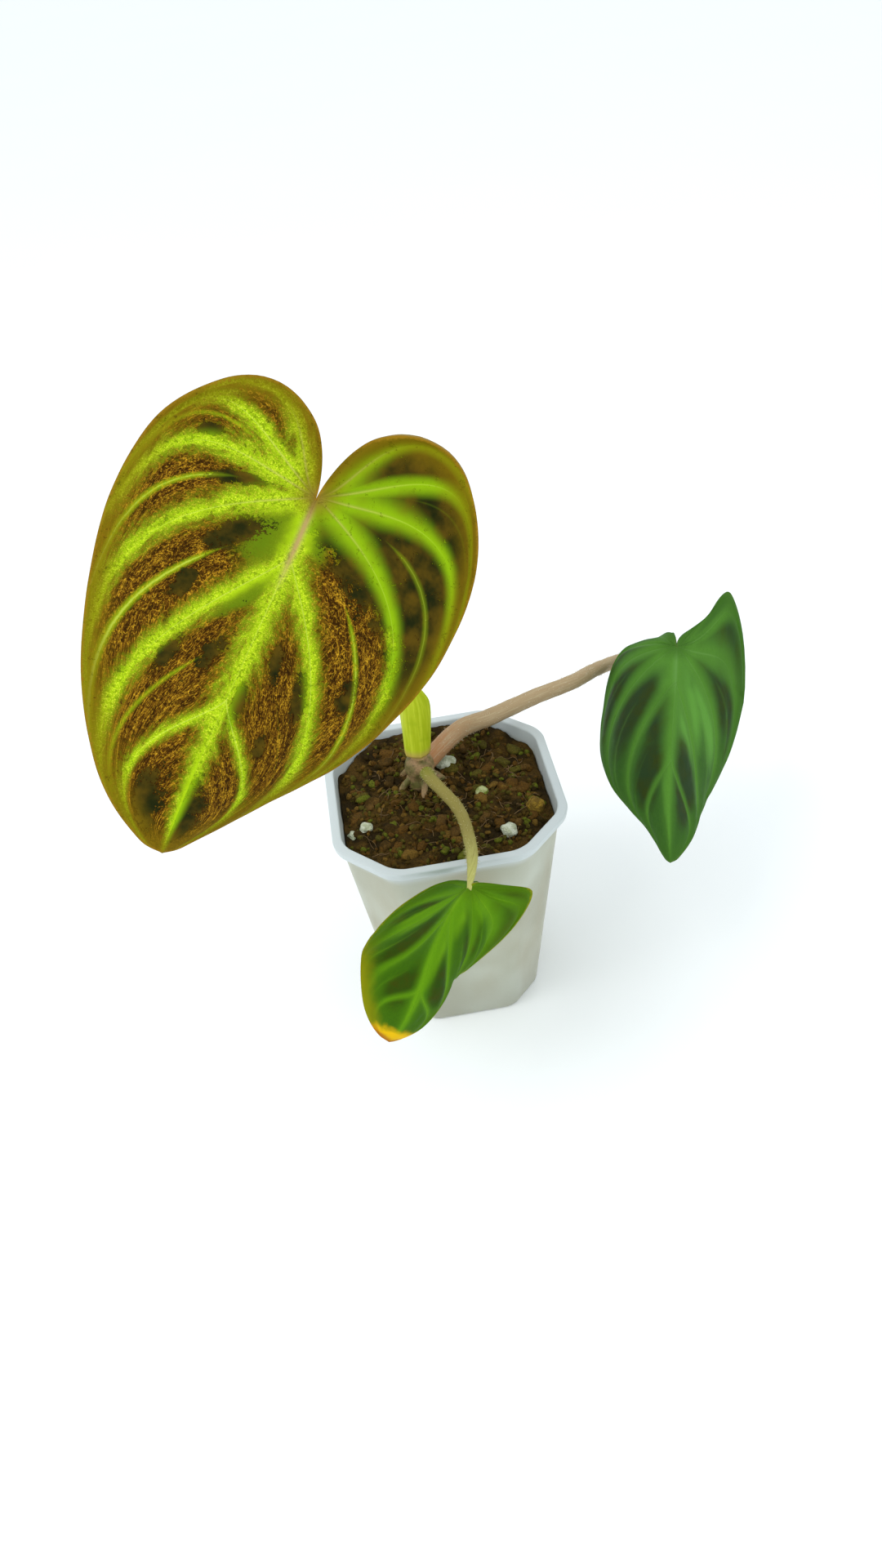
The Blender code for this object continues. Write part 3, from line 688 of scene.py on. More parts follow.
def pot_finish():
    """Milky thin plastic: bluish white at its rim, greyer and warmer where soil lies behind it."""
    f = Finish("frosted_pot", Specular_IOR_Level=0.45, Coat_Weight=0.12, Coat_Roughness=0.3)
    place = f.place()
    height = f.axis(place, "Z")
    cloud = f.noise(place, 34.0, 2.0, 0.5)
    patch = f.noise(f.stretch(place, (1.0, 1.0, 0.4)), 60.0, 3.0, 0.5)
    fine = f.noise(place, 900.0, 3.0)
    face = f.lay(
        "9C9C86",
        (f.rise(cloud, 0.26, 0.74), "B7BCAC"),
        (f.rise(patch, 0.44, 0.78) * 0.45, "9A8E6C"),
        (f.rise(height, 0.034, 0.0) * 0.4, "8C8C7E"),
        (f.rise(height + (cloud - 0.5) * 0.006, 0.0725, 0.0765), "C4CCCC"),
    )
    return f.surface(face, 0.34 + fine * 0.12, fine, 0.00006)


def floor_finish():
    f = Finish("pale_floor", Specular_IOR_Level=0.2)
    mottle = f.noise(f.place(), 6.0, 2.0)
    return f.surface(f.blend(mottle, "FAFDFE", "FCFEFD"), 0.7 + mottle * 0.05)


# ---------------------------------------------------------------- shapes


def mesh_from(name, bm):
    """A mesh made from a bmesh, which it frees."""
    mesh = bpy.data.meshes.new(name)
    bm.to_mesh(mesh)
    bm.free()
    return mesh


def put_in_scene(name, data):
    thing = bpy.data.objects.new(name, data)
    bpy.context.scene.collection.objects.link(thing)
    return thing


def finish_piece(name, bm, materials, replaced=(), turn_out=False):
    """Puts a bmesh into the scene as a smooth piece of the plant that rides on its one body."""
    if turn_out:
        bmesh.ops.recalc_face_normals(bm, faces=bm.faces)
    mesh = mesh_from(name, bm)
    mesh.shade_smooth()
    for look in materials:
        mesh.materials.append(look)
    piece = put_in_scene(name, mesh)
    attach(piece, "root")
    if replaced:
        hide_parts(*replaced)
    return piece


def chart_grid(across, along):
    """A grid as a bmesh, and where each of its vertices is in it, from 0 to 1 both ways."""
    bm = bmesh.new()
    bmesh.ops.create_grid(bm, x_segments=across, y_segments=along, size=0.5)
    return bm, np.array([vertex.co[:2] for vertex in bm.verts]) + 0.5


def open_edges(bm):
    return [edge for edge in bm.edges if edge.is_boundary]


def extrude_rim(bm, rim):
    """Extrudes a rim of edges, and gives back the new rim and its vertices."""
    walls = bmesh.ops.extrude_edge_only(bm, edges=rim)["geom"]
    rim = [part for part in walls if isinstance(part, bmesh.types.BMEdge) and part.is_boundary]
    return rim, list({vertex for edge in rim for vertex in edge.verts})


def polar(angle, out):
    """The place, across and along, that lies this far out at an angle."""
    return math.cos(angle) * out, math.sin(angle) * out


def spoke_at(ahead, out, angle):
    """The way out of a line at an angle round it."""
    return out * math.cos(angle) + ahead.cross(out) * math.sin(angle)


def roughen(bm, *waves):
    """Moves a surface in and out by waves of noise: how fine each is, and its height."""
    for vertex in bm.verts:
        lump = sum(noise.noise(vertex.co * fineness) * height for fineness, height in waves)
        vertex.co += vertex.normal * lump


def through(points, at):
    """A smooth curve through the points, read at places from 0 to the last point's number."""
    points = np.asarray(points, float)
    last = len(points) - 1
    padded = np.vstack([2 * points[0] - points[1], points, 2 * points[-1] - points[-2]])
    span = np.clip(at.astype(int), 0, last - 1)
    f = (at - span)[:, None]
    before, start, end, after = (padded[span + k] for k in range(4))
    squared = (2 * before - 5 * start + 4 * end - after) * f**2
    cubed = (3 * (start - end) + after - before) * f**3
    return 0.5 * (2 * start + (end - before) * f + squared + cubed)


def bezier(controls, f):
    """A cubic curve of four control points, or of four arrays of them."""
    a, b, c, d = controls
    return (1 - f) ** 3 * a + 3 * (1 - f) ** 2 * f * b + 3 * (1 - f) * f**2 * c + f**3 * d


def run_along(points):
    """How far along a line each of its points is."""
    steps = np.linalg.norm(np.diff(points, axis=0), axis=1)
    return np.concatenate([[0.0], np.cumsum(steps)])


def unit(vectors):
    return vectors / np.linalg.norm(vectors, axis=-1, keepdims=True)


def read_line(places, values, at):
    return np.stack([np.interp(at, places, column) for column in np.asarray(values).T], axis=-1)


def read_pairs(pairs, at):
    return np.interp(at, *np.array(pairs).T)


def flat_half(rib, reach):
    """Points of a half leaf laid flat, from their rib's number and their share of its way out."""
    edge = through(MARGIN, np.linspace(0, len(MARGIN) - 1, 400))
    run = run_along(edge)
    ribs = np.array(RIBS)
    starts, ends = read_line(np.arange(len(RIBS)), ribs[:, [0, 5]], rib).T
    handles = through(ribs[:, 1:5], rib)
    root = np.stack([np.zeros_like(starts), starts], axis=-1)
    tip = read_line(run / run[-1], edge, ends)
    return bezier((root, handles[:, :2], handles[:, 2:], tip), reach[:, None])


def on_midrib(leaf, along):
    """Points of a leaf's midrib, and of its straight run on behind the notch, and its length."""
    controls = np.array(leaf["midrib"]) * MM
    line = bezier(controls, np.linspace(0, 1, 101)[:, None])
    run = run_along(line)
    length = run[-1]
    back = np.minimum(along, 0)[:, None] * length
    return read_line(run / length, line, along) + unit(controls[1] - controls[0]) * back, length


def bend(leaf, flat, half):
    """Points in space for flat points of the left (0) or right half (1), and the way up there."""
    length = on_midrib(leaf, np.zeros(1))[1]
    out, along = flat.T
    behind = np.minimum(along, 0)
    out = out * leaf["widths"][half] - leaf["part"] * behind
    # Behind the notch a lobe rolls back round an arc.
    rate = math.radians(leaf["lobes"][half]) / LOBE_LENGTH
    roll = rate * behind
    place = np.where(along < 0, np.sin(roll) / rate, along)
    drop = (np.cos(roll) - 1) / rate * length
    # The blade's own frame there: along the midrib, the way it faces, and out to the side.
    step = 0.012
    ahead = on_midrib(leaf, np.minimum(place + step, 1))[0]
    astern = on_midrib(leaf, np.minimum(place, 1 - step) - step)[0]
    forward = unit(ahead - astern)
    share = np.clip((along - FOLD_START) / (1 - FOLD_START), 0, 1)[:, None]
    base, tip = unit(np.array(leaf["faces"]))
    facing = base * (1 - share) + tip * share
    facing = unit(facing - forward * (facing * forward).sum(axis=1, keepdims=True))
    sideways = np.cross(facing, forward) * (1 if half else -1)
    # The half leaves the midrib at its fold's angle and curls on from there.
    lobe, middle, end = leaf["folds"][half]
    u = np.clip((along - FOLD_START) / FOLD_SPAN, 0, 2)
    fold = np.radians(lobe * (u - 1) * (u - 2) / 2 - middle * u * (u - 2) + end * u * (u - 1) / 2)
    curl = math.radians(leaf["curls"][half]) / (0.5 * length)
    turned = fold + curl * out * length
    over = (np.sin(turned) - np.sin(fold)) / curl
    lift = (np.cos(fold) - np.cos(turned)) / curl
    upward = facing * np.cos(roll)[:, None] - forward * np.sin(roll)[:, None]
    spine = on_midrib(leaf, place)[0]
    # Over the midrib both halves share one way up, so that neither crosses the other.
    tilt = (turned * (1 - bell(out * length, CREST)))[:, None]
    rolled = facing * np.cos(roll)[:, None] + forward * np.sin(roll)[:, None]
    stand = rolled * np.cos(tilt) - sideways * np.sin(tilt)
    return spine + sideways * over[:, None] + facing * drop[:, None] + upward * lift[:, None], stand


def bell(away, width):
    """1 where nothing is away, falling smoothly to 0 over the width."""
    return np.exp(-((away / width) ** 2))


def step_up(value, low, high):
    """0 at low and 1 at high, smoothly between; low may be the larger."""
    share = np.clip((value - low) / (high - low), 0, 1)
    return share * share * (3 - 2 * share)


def blade_numbers(name, rib, reach, half):
    """What is read at each point of one half: distances to its ribs and edge, and the like."""
    leaf = LEAVES[name]
    length = on_midrib(leaf, np.zeros(1))[1] / MM
    size = length / LARGE_MIDRIB * leaf["bands"]

    def spread(ribs, reaches):
        return flat_half(ribs, reaches) * (length * leaf["widths"][half], length)

    flat = spread(rib, reach)
    nudge = 0.01
    high, low = np.minimum(rib + nudge, TIP), np.maximum(rib - nudge, 0)
    aside = (spread(high, reach) - spread(low, reach)) / (high - low)[:, None]
    high, low = np.minimum(reach + nudge, 1), np.maximum(reach - nudge, 0)
    onward = (spread(rib, high) - spread(rib, low)) / (high - low)[:, None]
    pace = np.maximum(np.linalg.norm(onward, axis=1), 1e-3)
    spacing = np.abs(aside[:, 0] * onward[:, 1] - aside[:, 1] * onward[:, 0]) / pace
    stops = [spread(rib, reach * k / 10) for k in range(11)]
    run = sum(np.linalg.norm(after - before, axis=1) for before, after in zip(stops, stops[1:]))
    along = flat[:, 1] / length
    to_rib = np.abs(rib - np.clip(np.round(rib), 1, TIP - 1)) * spacing
    to_midrib = np.hypot(flat[:, 0], np.minimum(flat[:, 1], 0))
    to_notch = np.hypot(*flat.T)
    rib_band = np.interp(rib, np.arange(TIP + 1), RIB_BANDS) * size * (1 - 0.55 * reach**2)
    midrib_band = read_pairs(MIDRIB_BAND, along) * size
    by_rib, by_midrib = to_rib / rib_band, to_midrib / midrib_band
    sharp = 5.0
    vein = -np.log(np.exp(-sharp * by_rib) + np.exp(-sharp * by_midrib)) / sharp
    field = np.clip(np.floor(rib), 0, TIP - 1)
    strength = np.array(THIN_RIBS)[half][field.astype(int)]
    to_thin = np.abs(rib - field - 0.5) * spacing
    thin = to_thin / (size * (0.3 + 0.35 * reach)) + (1 - strength * step_up(reach, 0.22, 0.42)) * 3
    margin = through(MARGIN, np.linspace(0, len(MARGIN) - 1, 300))
    margin = margin * (length * leaf["widths"][half], length)
    # One part at a time, so that the distances don't fill the memory.
    parts = (part[:, None] - margin for part in np.array_split(flat, 40))
    edge = np.concatenate([np.linalg.norm(part, axis=2).min(axis=1) for part in parts])
    flesh = bell(to_midrib, 0.75 * size) * step_up(along, 0.32, 0.14) * (along > -0.02)
    flesh = np.maximum(flesh, 0.8 * bell(to_notch, 2.2 * size))
    flesh = np.maximum(flesh, 0.35 * bell(to_rib, 0.3 * size) * step_up(to_notch, 22, 6))

    def within(places):
        found = np.zeros_like(rib)
        for at_rib, at_reach, rib_size, reach_size in places[name][half]:
            away = np.hypot((rib - at_rib) / rib_size, (reach - at_reach) / reach_size)
            found = np.maximum(found, 1.5 - away)
        return found

    # The smooth dark places, and the patches of painted sheen.
    dark, sheen = within(DARK_PLACES), within(SHEEN_PLACES)
    if name == "large" and half:
        dark = np.maximum(dark, 0.5 + (read_pairs(SMOOTH_EDGE, reach) - rib) * 2.5)
    vein = vein * (0.5 + 0.5 * step_up(to_notch, 3, 34 * size))
    return {
        "flat": flat * (1 if half else -1, 1),
        "spacing": spacing,
        "run": run,
        "vein": vein,
        "line": np.minimum(to_rib / (0.2 * size) + reach**3 * 3, to_midrib / (0.3 * size) + along),
        "thin": thin,
        "edge": edge,
        "flesh": flesh,
        "dark": np.clip(dark, 0, 1),
        "sheen": np.clip(sheen, 0, 1),
        "along": along,
        "side": flat[:, 0] / (0.45 * length) * (1 if half else -1),
        "to_rib": to_rib,
        "to_midrib": to_midrib,
        "to_thin": to_thin + (1 - strength) * 9,
    }


def blade_relief(numbers, rib, reach, size):
    """How far a blade's face and its underside stand off its plane, in millimetres."""
    keys = ("to_rib", "to_midrib", "to_thin", "along", "edge")
    to_rib, to_midrib, to_thin, along, edge = (numbers[key] for key in keys)
    quilt = QUILTING * np.sin(math.pi * rib) ** 2 * np.sin(math.pi * reach)
    clear = step_up(reach, 0.2, 0.4)
    groove = RIB_GROOVE * bell(to_rib, 0.5) * (1 - 0.8 * reach)
    groove += MIDRIB_GROOVE * bell(to_midrib, 0.8) * np.clip(1.1 - along, 0, 1)
    groove += THIN_RIB_GROOVE * bell(to_thin, 0.4) * clear
    open_ground = step_up(numbers["vein"], 0.3, 1.2) * step_up(edge, 0.0, 3.0)
    pucker, wave = [], []
    for x, y in numbers["flat"]:
        fine = noise.noise(Vector((x, y, 7.0)) / 1.1)
        pucker.append(noise.noise(Vector((x, y, 3.0)) / 2.4) + 0.5 * fine)
        wave.append(noise.noise(Vector((x, y, 1.0)) / 9.0))
    body = quilt + np.array(pucker) * PUCKERS * open_ground
    body += np.array(wave) * WAVES * step_up(edge, 9.0, 0.0)
    thick = BLADE_FLESH + RIB_DEPTH * bell(to_rib, 0.5) * (1 - 0.75 * reach)
    keel = MIDRIB_DEPTH * size * np.clip(1 - 0.85 * along, 0, 1) * (along > -0.01)
    thick += keel * bell(to_midrib, 0.95 * size)
    thick += THIN_RIB_DEPTH * bell(to_thin, 0.35) * clear
    return body - groove, body - np.minimum(thick, BLADE_DEEPEST)


def build_blade(name):
    """A blade: a dense face with sunken ribs and puckered ground, its thickness and keeled ribs."""
    leaf = LEAVES[name]
    bm, spots = chart_grid(2 * leaf["steps"], leaf["columns"] * TIP)
    signed = spots[:, 0] * 2 - 1
    reach = np.abs(signed) ** 1.15
    half = (signed > 0).astype(int)
    rib = spots[:, 1] * TIP
    rib -= 0.7 * np.sin(math.tau * rib) / math.tau
    size = on_midrib(leaf, np.zeros(1))[1] / MM / LARGE_MIDRIB
    places, stands = np.zeros((len(rib), 3)), np.zeros((len(rib), 3))
    numbers = {}
    for side in (0, 1):
        mine = half == side
        places[mine], stands[mine] = bend(leaf, flat_half(rib[mine], reach[mine]), side)
        for key, values in blade_numbers(name, rib[mine], reach[mine], side).items():
            whole = numbers.setdefault(key, np.zeros((len(rib), *values.shape[1:])))
            whole[mine] = values
    face, back = blade_relief(numbers, rib, reach, size)
    upper = places + stands * face[:, None] * MM
    lower = places + stands * back[:, None] * MM
    layers = {key: bm.verts.layers.float.new(key) for key in LEAF_READS}
    beneath = bm.verts.layers.float_vector.new("beneath")
    for i, vertex in enumerate(bm.verts):
        vertex.co = upper[i]
        vertex[beneath] = lower[i]
        for key, layer in layers.items():
            vertex[layer] = numbers[key][i]
    chart_blade(bm, rib, numbers)
    bmesh.ops.remove_doubles(bm, verts=bm.verts, dist=WELD)
    tops = bm.faces[:]
    copied = bmesh.ops.extrude_face_region(bm, geom=tops, use_keep_orig=True)["geom"]
    for part in copied:
        if isinstance(part, bmesh.types.BMVert):
            part.co = part[beneath]
    unders = {part for part in copied if isinstance(part, bmesh.types.BMFace)}
    seen = set(tops)
    for part in bm.faces:
        part.material_index = 0 if part in seen else 1 if part in unders else 2
    bmesh.ops.recalc_face_normals(bm, faces=bm.faces)
    total = sum((part.normal * part.calc_area() for part in tops), Vector())
    if total.dot(Vector(leaf["faces"][0])) < 0:
        bmesh.ops.reverse_faces(bm, faces=bm.faces)
    bm.verts.layers.float_vector.remove(beneath)
    looks = [look(name, tints_of(name)) for look in (leaf_top, leaf_under, leaf_edge)]
    piece = finish_piece(f"{name}_blade", bm, looks, [f"blade_{name}"])
    piece.data.set_sharp_from_angle(angle=math.radians(65))


def chart_blade(bm, rib, numbers):
    """Two charts in millimetres: the blade laid flat, and each rib field laid straight."""
    bm.verts.index_update()
    flat = bm.loops.layers.uv.new("flat")
    field = bm.loops.layers.uv.new("field")
    spacing, run, spread = numbers["spacing"], numbers["run"], numbers["flat"]
    for face in bm.faces:
        indices = [vertex.index for vertex in face.verts]
        number = math.floor(sum(rib[i] for i in indices) / len(indices))
        shift = 40 * number + (300 if spread[indices[0]][0] + spread[indices[2]][0] > 0 else 0)
        for loop in face.loops:
            i = loop.vert.index
            loop[flat].uv = spread[i]
            loop[field].uv = ((rib[i] - number) * spacing[i], run[i] + shift)


def tube_into(bm, path, radii, sides, rings):
    """A round tube along a smooth curve through the path's points, closed at both ends."""
    path, radii = np.array([tuple(p) for p in path]), np.array(radii, float)
    at = np.linspace(0, len(path) - 1, rings + 1)
    centres = through(path, at)
    widths = through(radii[:, None], at)[:, 0]
    run = run_along(centres)
    forward = unit(np.gradient(centres, axis=0))
    side = Vector(forward[0]).orthogonal().normalized()
    sides_of = []
    for ahead in forward:
        ahead = Vector(ahead)
        side = (side - ahead * side.dot(ahead)).normalized()
        sides_of.append(side.copy())
    grid, spots = chart_grid(sides, rings)
    chart = grid.loops.layers.uv.new("skin")
    along = grid.verts.layers.float.new("along")
    grid.verts.index_update()
    for face in grid.faces:
        for loop in face.loops:
            x, y = spots[loop.vert.index]
            k = round(y * rings)
            loop[chart].uv = (x * math.tau * widths[k] / MM, run[k] / MM)
    for vertex, (x, y) in zip(grid.verts, spots):
        k = round(y * rings)
        spoke = spoke_at(Vector(forward[k]), sides_of[k], x * math.tau)
        vertex.co = Vector(centres[k]) + spoke * widths[k]
        vertex[along] = run[k] / run[-1]
    bmesh.ops.remove_doubles(grid, verts=grid.verts, dist=WELD)
    caps = bmesh.ops.holes_fill(grid, edges=open_edges(grid), sides=0)["faces"]
    bmesh.ops.poke(grid, faces=caps)
    bmesh.ops.recalc_face_normals(grid, faces=grid.faces)
    join_into(bm, grid)
    return centres, widths, forward, sides_of


def join_into(bm, other):
    """Adds a bmesh to another, and frees it."""
    mesh = mesh_from("joined", other)
    bm.from_mesh(mesh)
    bpy.data.meshes.remove(mesh)


def hairs_into(bm, line, count, rng):
    """Short tapered hairs on a tube, leaning towards its end, and none where it meets its blade."""
    tint = bm.verts.layers.float.new("tint")
    centres, widths, forward, sides_of = line
    haired = round(len(centres) * HAIRED_SHARE)
    for _ in range(count):
        k = rng.randrange(haired)
        share = rng.random()
        centre = Vector(centres[k]).lerp(Vector(centres[k + 1]), share)
        ahead = Vector(forward[k])
        spoke = spoke_at(ahead, sides_of[k], rng.uniform(0, math.tau))
        length = rng.uniform(*HAIR_LENGTHS) * MM
        lean = spoke + ahead * rng.uniform(-0.2, 0.7)
        lean = (lean + ahead.cross(spoke) * rng.uniform(-0.35, 0.35)).normalized()
        foot = centre + spoke * widths[k] * 0.93
        turn = lean.to_track_quat("Z", "Y").to_matrix().to_4x4()
        matrix = Matrix.Translation(foot + lean * length / 2) @ turn
        radius = HAIR_RADIUS * rng.uniform(0.8, 1.2)
        made = bmesh.ops.create_cone(
            bm, segments=4, radius1=radius, radius2=0.0, depth=length, matrix=matrix
        )
        shade = rng.random()
        for vertex in made["verts"]:
            vertex[tint] = shade


def build_stalk(name):
    """A leaf's stalk, from its stem to the keel under its blade, and its hairs."""
    leaf, stalk = LEAVES[name], PETIOLES[name]
    joint = Vector(bend(leaf, np.array([[0.0, JOINT_SHARE]]), 0)[0][0])
    path = [Vector(point) * MM for point in stalk["path"]]
    path.append(joint - Vector(leaf["faces"][0]).normalized() * stalk["depth"])
    bm = bmesh.new()
    line = tube_into(bm, path, stalk["radii"], 28, 18 * (len(path) - 1))
    roughen(bm, (420, 0.10 * MM), (1100, 0.05 * MM))
    finish_piece(f"{name}_stalk", bm, [stalk_finish(name)], [f"petiole_{name}"])
    bm = bmesh.new()
    hairs_into(bm, line, stalk["hairs"], random.Random(SEED + len(name)))
    finish_piece(f"{name}_stalk_hairs", bm, [hair_finish(name)])


def soil_height(x, y):
    """The soil's lumpy top, a little higher in the middle, and banked up towards the back."""
    rise = SOIL_MOUND * (1 - (math.hypot(x, y) / (POT_TOP / 2)) ** 2)
    lumps = noise.noise(Vector((x, y, 0)) / 0.0055) * 0.0011
    lumps += noise.noise(Vector((y, x, 1)) / 0.0024) * 0.0006
    bank = SOIL_BANK * min(max((y - BANK_START) / BANK_RUN, 0), 1) ** 2
    return SOIL_LEVEL + rise + lumps + bank


def pot_half(z, inset=0.0):
    """Half the width of the pot's tapered outside at a height, moved in by the inset."""
    return (POT_BASE + (POT_TOP - POT_BASE) * z / POT_HEIGHT) / 2 - inset


def pot_reach(angle, half):
    """How far a cut-cornered square of this half width reaches at an angle."""
    x, y = abs(math.cos(angle)), abs(math.sin(angle))
    cut = 2 * half - POT_TOP_CUT / POT_TOP * 2 * half
    return min(half / max(x, y), cut / (x + y))


def build_soil():
    """The bed of potting mix: a lumpy top and plain sides down to the pot's floor."""
    bm, spots = chart_grid(220, 70)
    half = pot_half(SOIL_LEVEL, POT_WALL + CLEARANCE)
    for vertex, (x, y) in zip(bm.verts, spots):
        angle = x * math.tau
        out = pot_reach(angle, half) * (1 - y) ** 0.8
        place = Vector((*polar(angle, out), 0))
        lumps = noise.noise(place / 0.0016) * 0.0004 + noise.noise(place / 0.0007) * 0.00025
        place.z = soil_height(place.x, place.y) + lumps
        vertex.co = place
    bmesh.ops.remove_doubles(bm, verts=bm.verts, dist=WELD)
    rim = open_edges(bm)
    for z in SOIL_RINGS:
        rim, moved = extrude_rim(bm, rim)
        foot = FOOT_EASE if z < FOOT_ROUND else 0.0
        wide = pot_half(z, POT_WALL + CLEARANCE + foot)
        for vertex in moved:
            angle = math.atan2(vertex.co.y, vertex.co.x)
            vertex.co = (*polar(angle, pot_reach(angle, wide)), z)
    bmesh.ops.holes_fill(bm, edges=rim, sides=0)
    finish = soil_finish("potting_mix_bed", "564018", "30240C")
    finish_piece("potting_mix_bed", bm, [finish], ["soil"], turn_out=True)


def chips_into(bm):
    """Bark chips half sunk in the soil, each a rough block with eased edges."""
    rng = random.Random(SEED)
    taken = [(CROWN, 0.010)]
    taken += [(Vector((*place, 0)), radius + 0.0045) for place, radius, _ in GRAINS]
    count = 0
    while count < BARK_CHIPS:
        spot = Vector([rng.uniform(-CHIP_FIELD, CHIP_FIELD) for _ in range(2)] + [0])
        crowded = any((spot - middle).length < reach for middle, reach in taken)
        if crowded or abs(spot.x) + abs(spot.y) > 1.45 * CHIP_FIELD:
            continue
        taken.append((spot, CHIP_SPACING))
        size = Vector((rng.uniform(3.0, 5.5), rng.uniform(2.0, 3.0), rng.uniform(1.2, 1.8))) * MM
        spin = Matrix.Rotation(rng.uniform(0, math.tau), 4, "Z")
        tilt = Matrix.Rotation(rng.uniform(-0.5, 0.5), 4, "X")
        chip = bmesh.new()
        bmesh.ops.create_cube(chip, size=1.0)
        for vertex in chip.verts:
            vertex.co *= rng.uniform(0.75, 1.0)
        bmesh.ops.scale(chip, vec=size, verts=chip.verts)
        place = Matrix.Translation((spot.x, spot.y, soil_height(spot.x, spot.y) + 0.0003))
        bmesh.ops.transform(chip, matrix=place @ spin @ tilt, verts=chip.verts)
        shade = chip.verts.layers.float.new("tint")
        bmesh.ops.bevel(
            chip, geom=chip.edges[:], offset=0.0003, segments=1, profile=0.5, affect="EDGES",
            material=-1,
        )
        bmesh.ops.subdivide_edges(chip, edges=chip.edges[:], cuts=3, use_grid_fill=True)
        roughen(chip, (900, 0.0003), (2600, 0.00012))
        for vertex in chip.verts:
            vertex[shade] = (count * 0.37) % 1.0
        join_into(bm, chip)
        count += 1


def crumbs_into(bm, rng, count, sizes, flatness, fineness, lift):
    """Loose lumps strewn over the soil."""
    half = pot_half(SOIL_LEVEL, POT_WALL + 0.0012)
    heap = None
    for number in range(count):
        if heap is None:
            heap = bmesh.new()
            tint = heap.verts.layers.float.new("tint")
        angle, share = rng.uniform(0, math.tau), math.sqrt(rng.random())
        size = rng.uniform(*sizes) * MM
        out = (pot_reach(angle, half) - size * 0.5) * share
        x, y = polar(angle, out)
        spin = Matrix.Rotation(rng.uniform(0, math.tau), 4, "Z")
        turn = spin @ Matrix.Rotation(rng.uniform(-0.7, 0.7), 4, "X")
        shape = Matrix.Diagonal((1.0, rng.uniform(0.45, 0.9), rng.uniform(*flatness), 1.0))
        centre = Vector((x, y, soil_height(x, y)))
        place = Matrix.Translation(centre + Vector((0, 0, size * lift)))
        across, up = fineness
        made = bmesh.ops.create_uvsphere(
            heap, u_segments=across, v_segments=up, radius=size / 2, matrix=place @ turn @ shape
        )
        shade, phase = rng.random(), Vector((rng.uniform(0, 50), 0, 0))
        for vertex in made["verts"]:
            away = vertex.co - centre
            vertex.co = centre + away * (1 + 0.5 * noise.noise(away * 1.2 / size * 2 + phase))
            vertex[tint] = shade
        # Small heaps stay quick to add to.
        if number % HEAP == HEAP - 1 or number == count - 1:
            join_into(bm, heap)
            heap = None


def fibres_into(bm, rng, count):
    """Thin root hairs and fibres lying on the soil."""
    half = pot_half(SOIL_LEVEL, POT_WALL + 0.003)
    for _ in range(count):
        angle, share = rng.uniform(0, math.tau), math.sqrt(rng.random())
        x, y = polar(angle, pot_reach(angle, half) * share * 0.92)
        heading, path = rng.uniform(0, math.tau), []
        for step in range(5):
            reach = pot_reach(math.atan2(y, x), half)
            if math.hypot(x, y) > reach:
                heading = math.atan2(-y, -x)
            sunk = 0.0008 if step in (0, 4) else 0
            path.append((x, y, soil_height(x, y) + rng.uniform(0.0001, 0.0009) - sunk))
            heading += rng.uniform(-0.8, 0.8)
            ahead = polar(heading, FIBRE_STEP)
            x, y = x + ahead[0], y + ahead[1]
        radius = rng.uniform(0.00006, 0.00014)
        tube_into(bm, path, [radius] * 5, 4, 10)


def build_soil_pieces():
    """What lies loose on the bed: chips and lumps of bark, crumbs of peat, and fibres."""
    rng = random.Random(SEED + 5)
    tints = (
        (0.0, 0.22, "644618"), (0.22, 0.40, "5C561C"), (0.40, 0.52, "7E6026"), (0.9, 1.0, "6A721E"),
    )
    bm = bmesh.new()
    bm.verts.layers.float.new("tint")
    chips_into(bm)
    crumbs_into(bm, rng, *BARK_LUMPS)
    bark = soil_finish("bark_chips", "6C5024", "42300E", tints)
    finish_piece("bark_chips", bm, [bark], turn_out=True)
    bm = bmesh.new()
    crumbs_into(bm, rng, *PEAT_LUMPS)
    peat = soil_finish("peat_crumbs", "5A4616", "34280C", tints)
    finish_piece("peat_crumbs", bm, [peat], turn_out=True)
    bm = bmesh.new()
    fibres_into(bm, rng, FIBRES)
    finish_piece("soil_fibres", bm, [straw_finish()])


def build_grains():
    """Perlite and a nugget of bark, each a pitted lump half sunk in the soil."""
    finishes = {
        "perlite": grain_finish("perlite_stone", "D6DBC4", "AEB494", "86886C"),
        "mossy_perlite": grain_finish("mossy_perlite", "B9BE86", "76842A", "4C5616"),
        "bark_nugget": grain_finish("ochre_bark", "9A7A22", "6A5214", "3C2C0C"),
    }
    for number, (place, radius, kind) in enumerate(GRAINS):
        centre = Vector((*place, soil_height(*place) + GRAIN_LIFT * radius))
        bm = bmesh.new()
        bmesh.ops.create_icosphere(bm, subdivisions=5, radius=1.0)
        for vertex in bm.verts:
            lump = 1 + 0.3 * noise.noise(vertex.co * 1.3 + centre * 400)
            lump += 0.07 * noise.noise(vertex.co * 4.5 + centre * 300)
            lump -= 0.05 * max(0.0, noise.noise(vertex.co * 11 + centre * 200))
            shape = Vector((1, 1, GRAIN_FLATNESS)) * radius * lump
            vertex.co = centre + vertex.co * shape
        node = f"{kind}_{number + 1}"
        look = finishes["mossy_perlite" if number == MOSSY_GRAIN else kind]
        finish_piece(f"{kind}_lump_{number + 1}", bm, [look], [node])


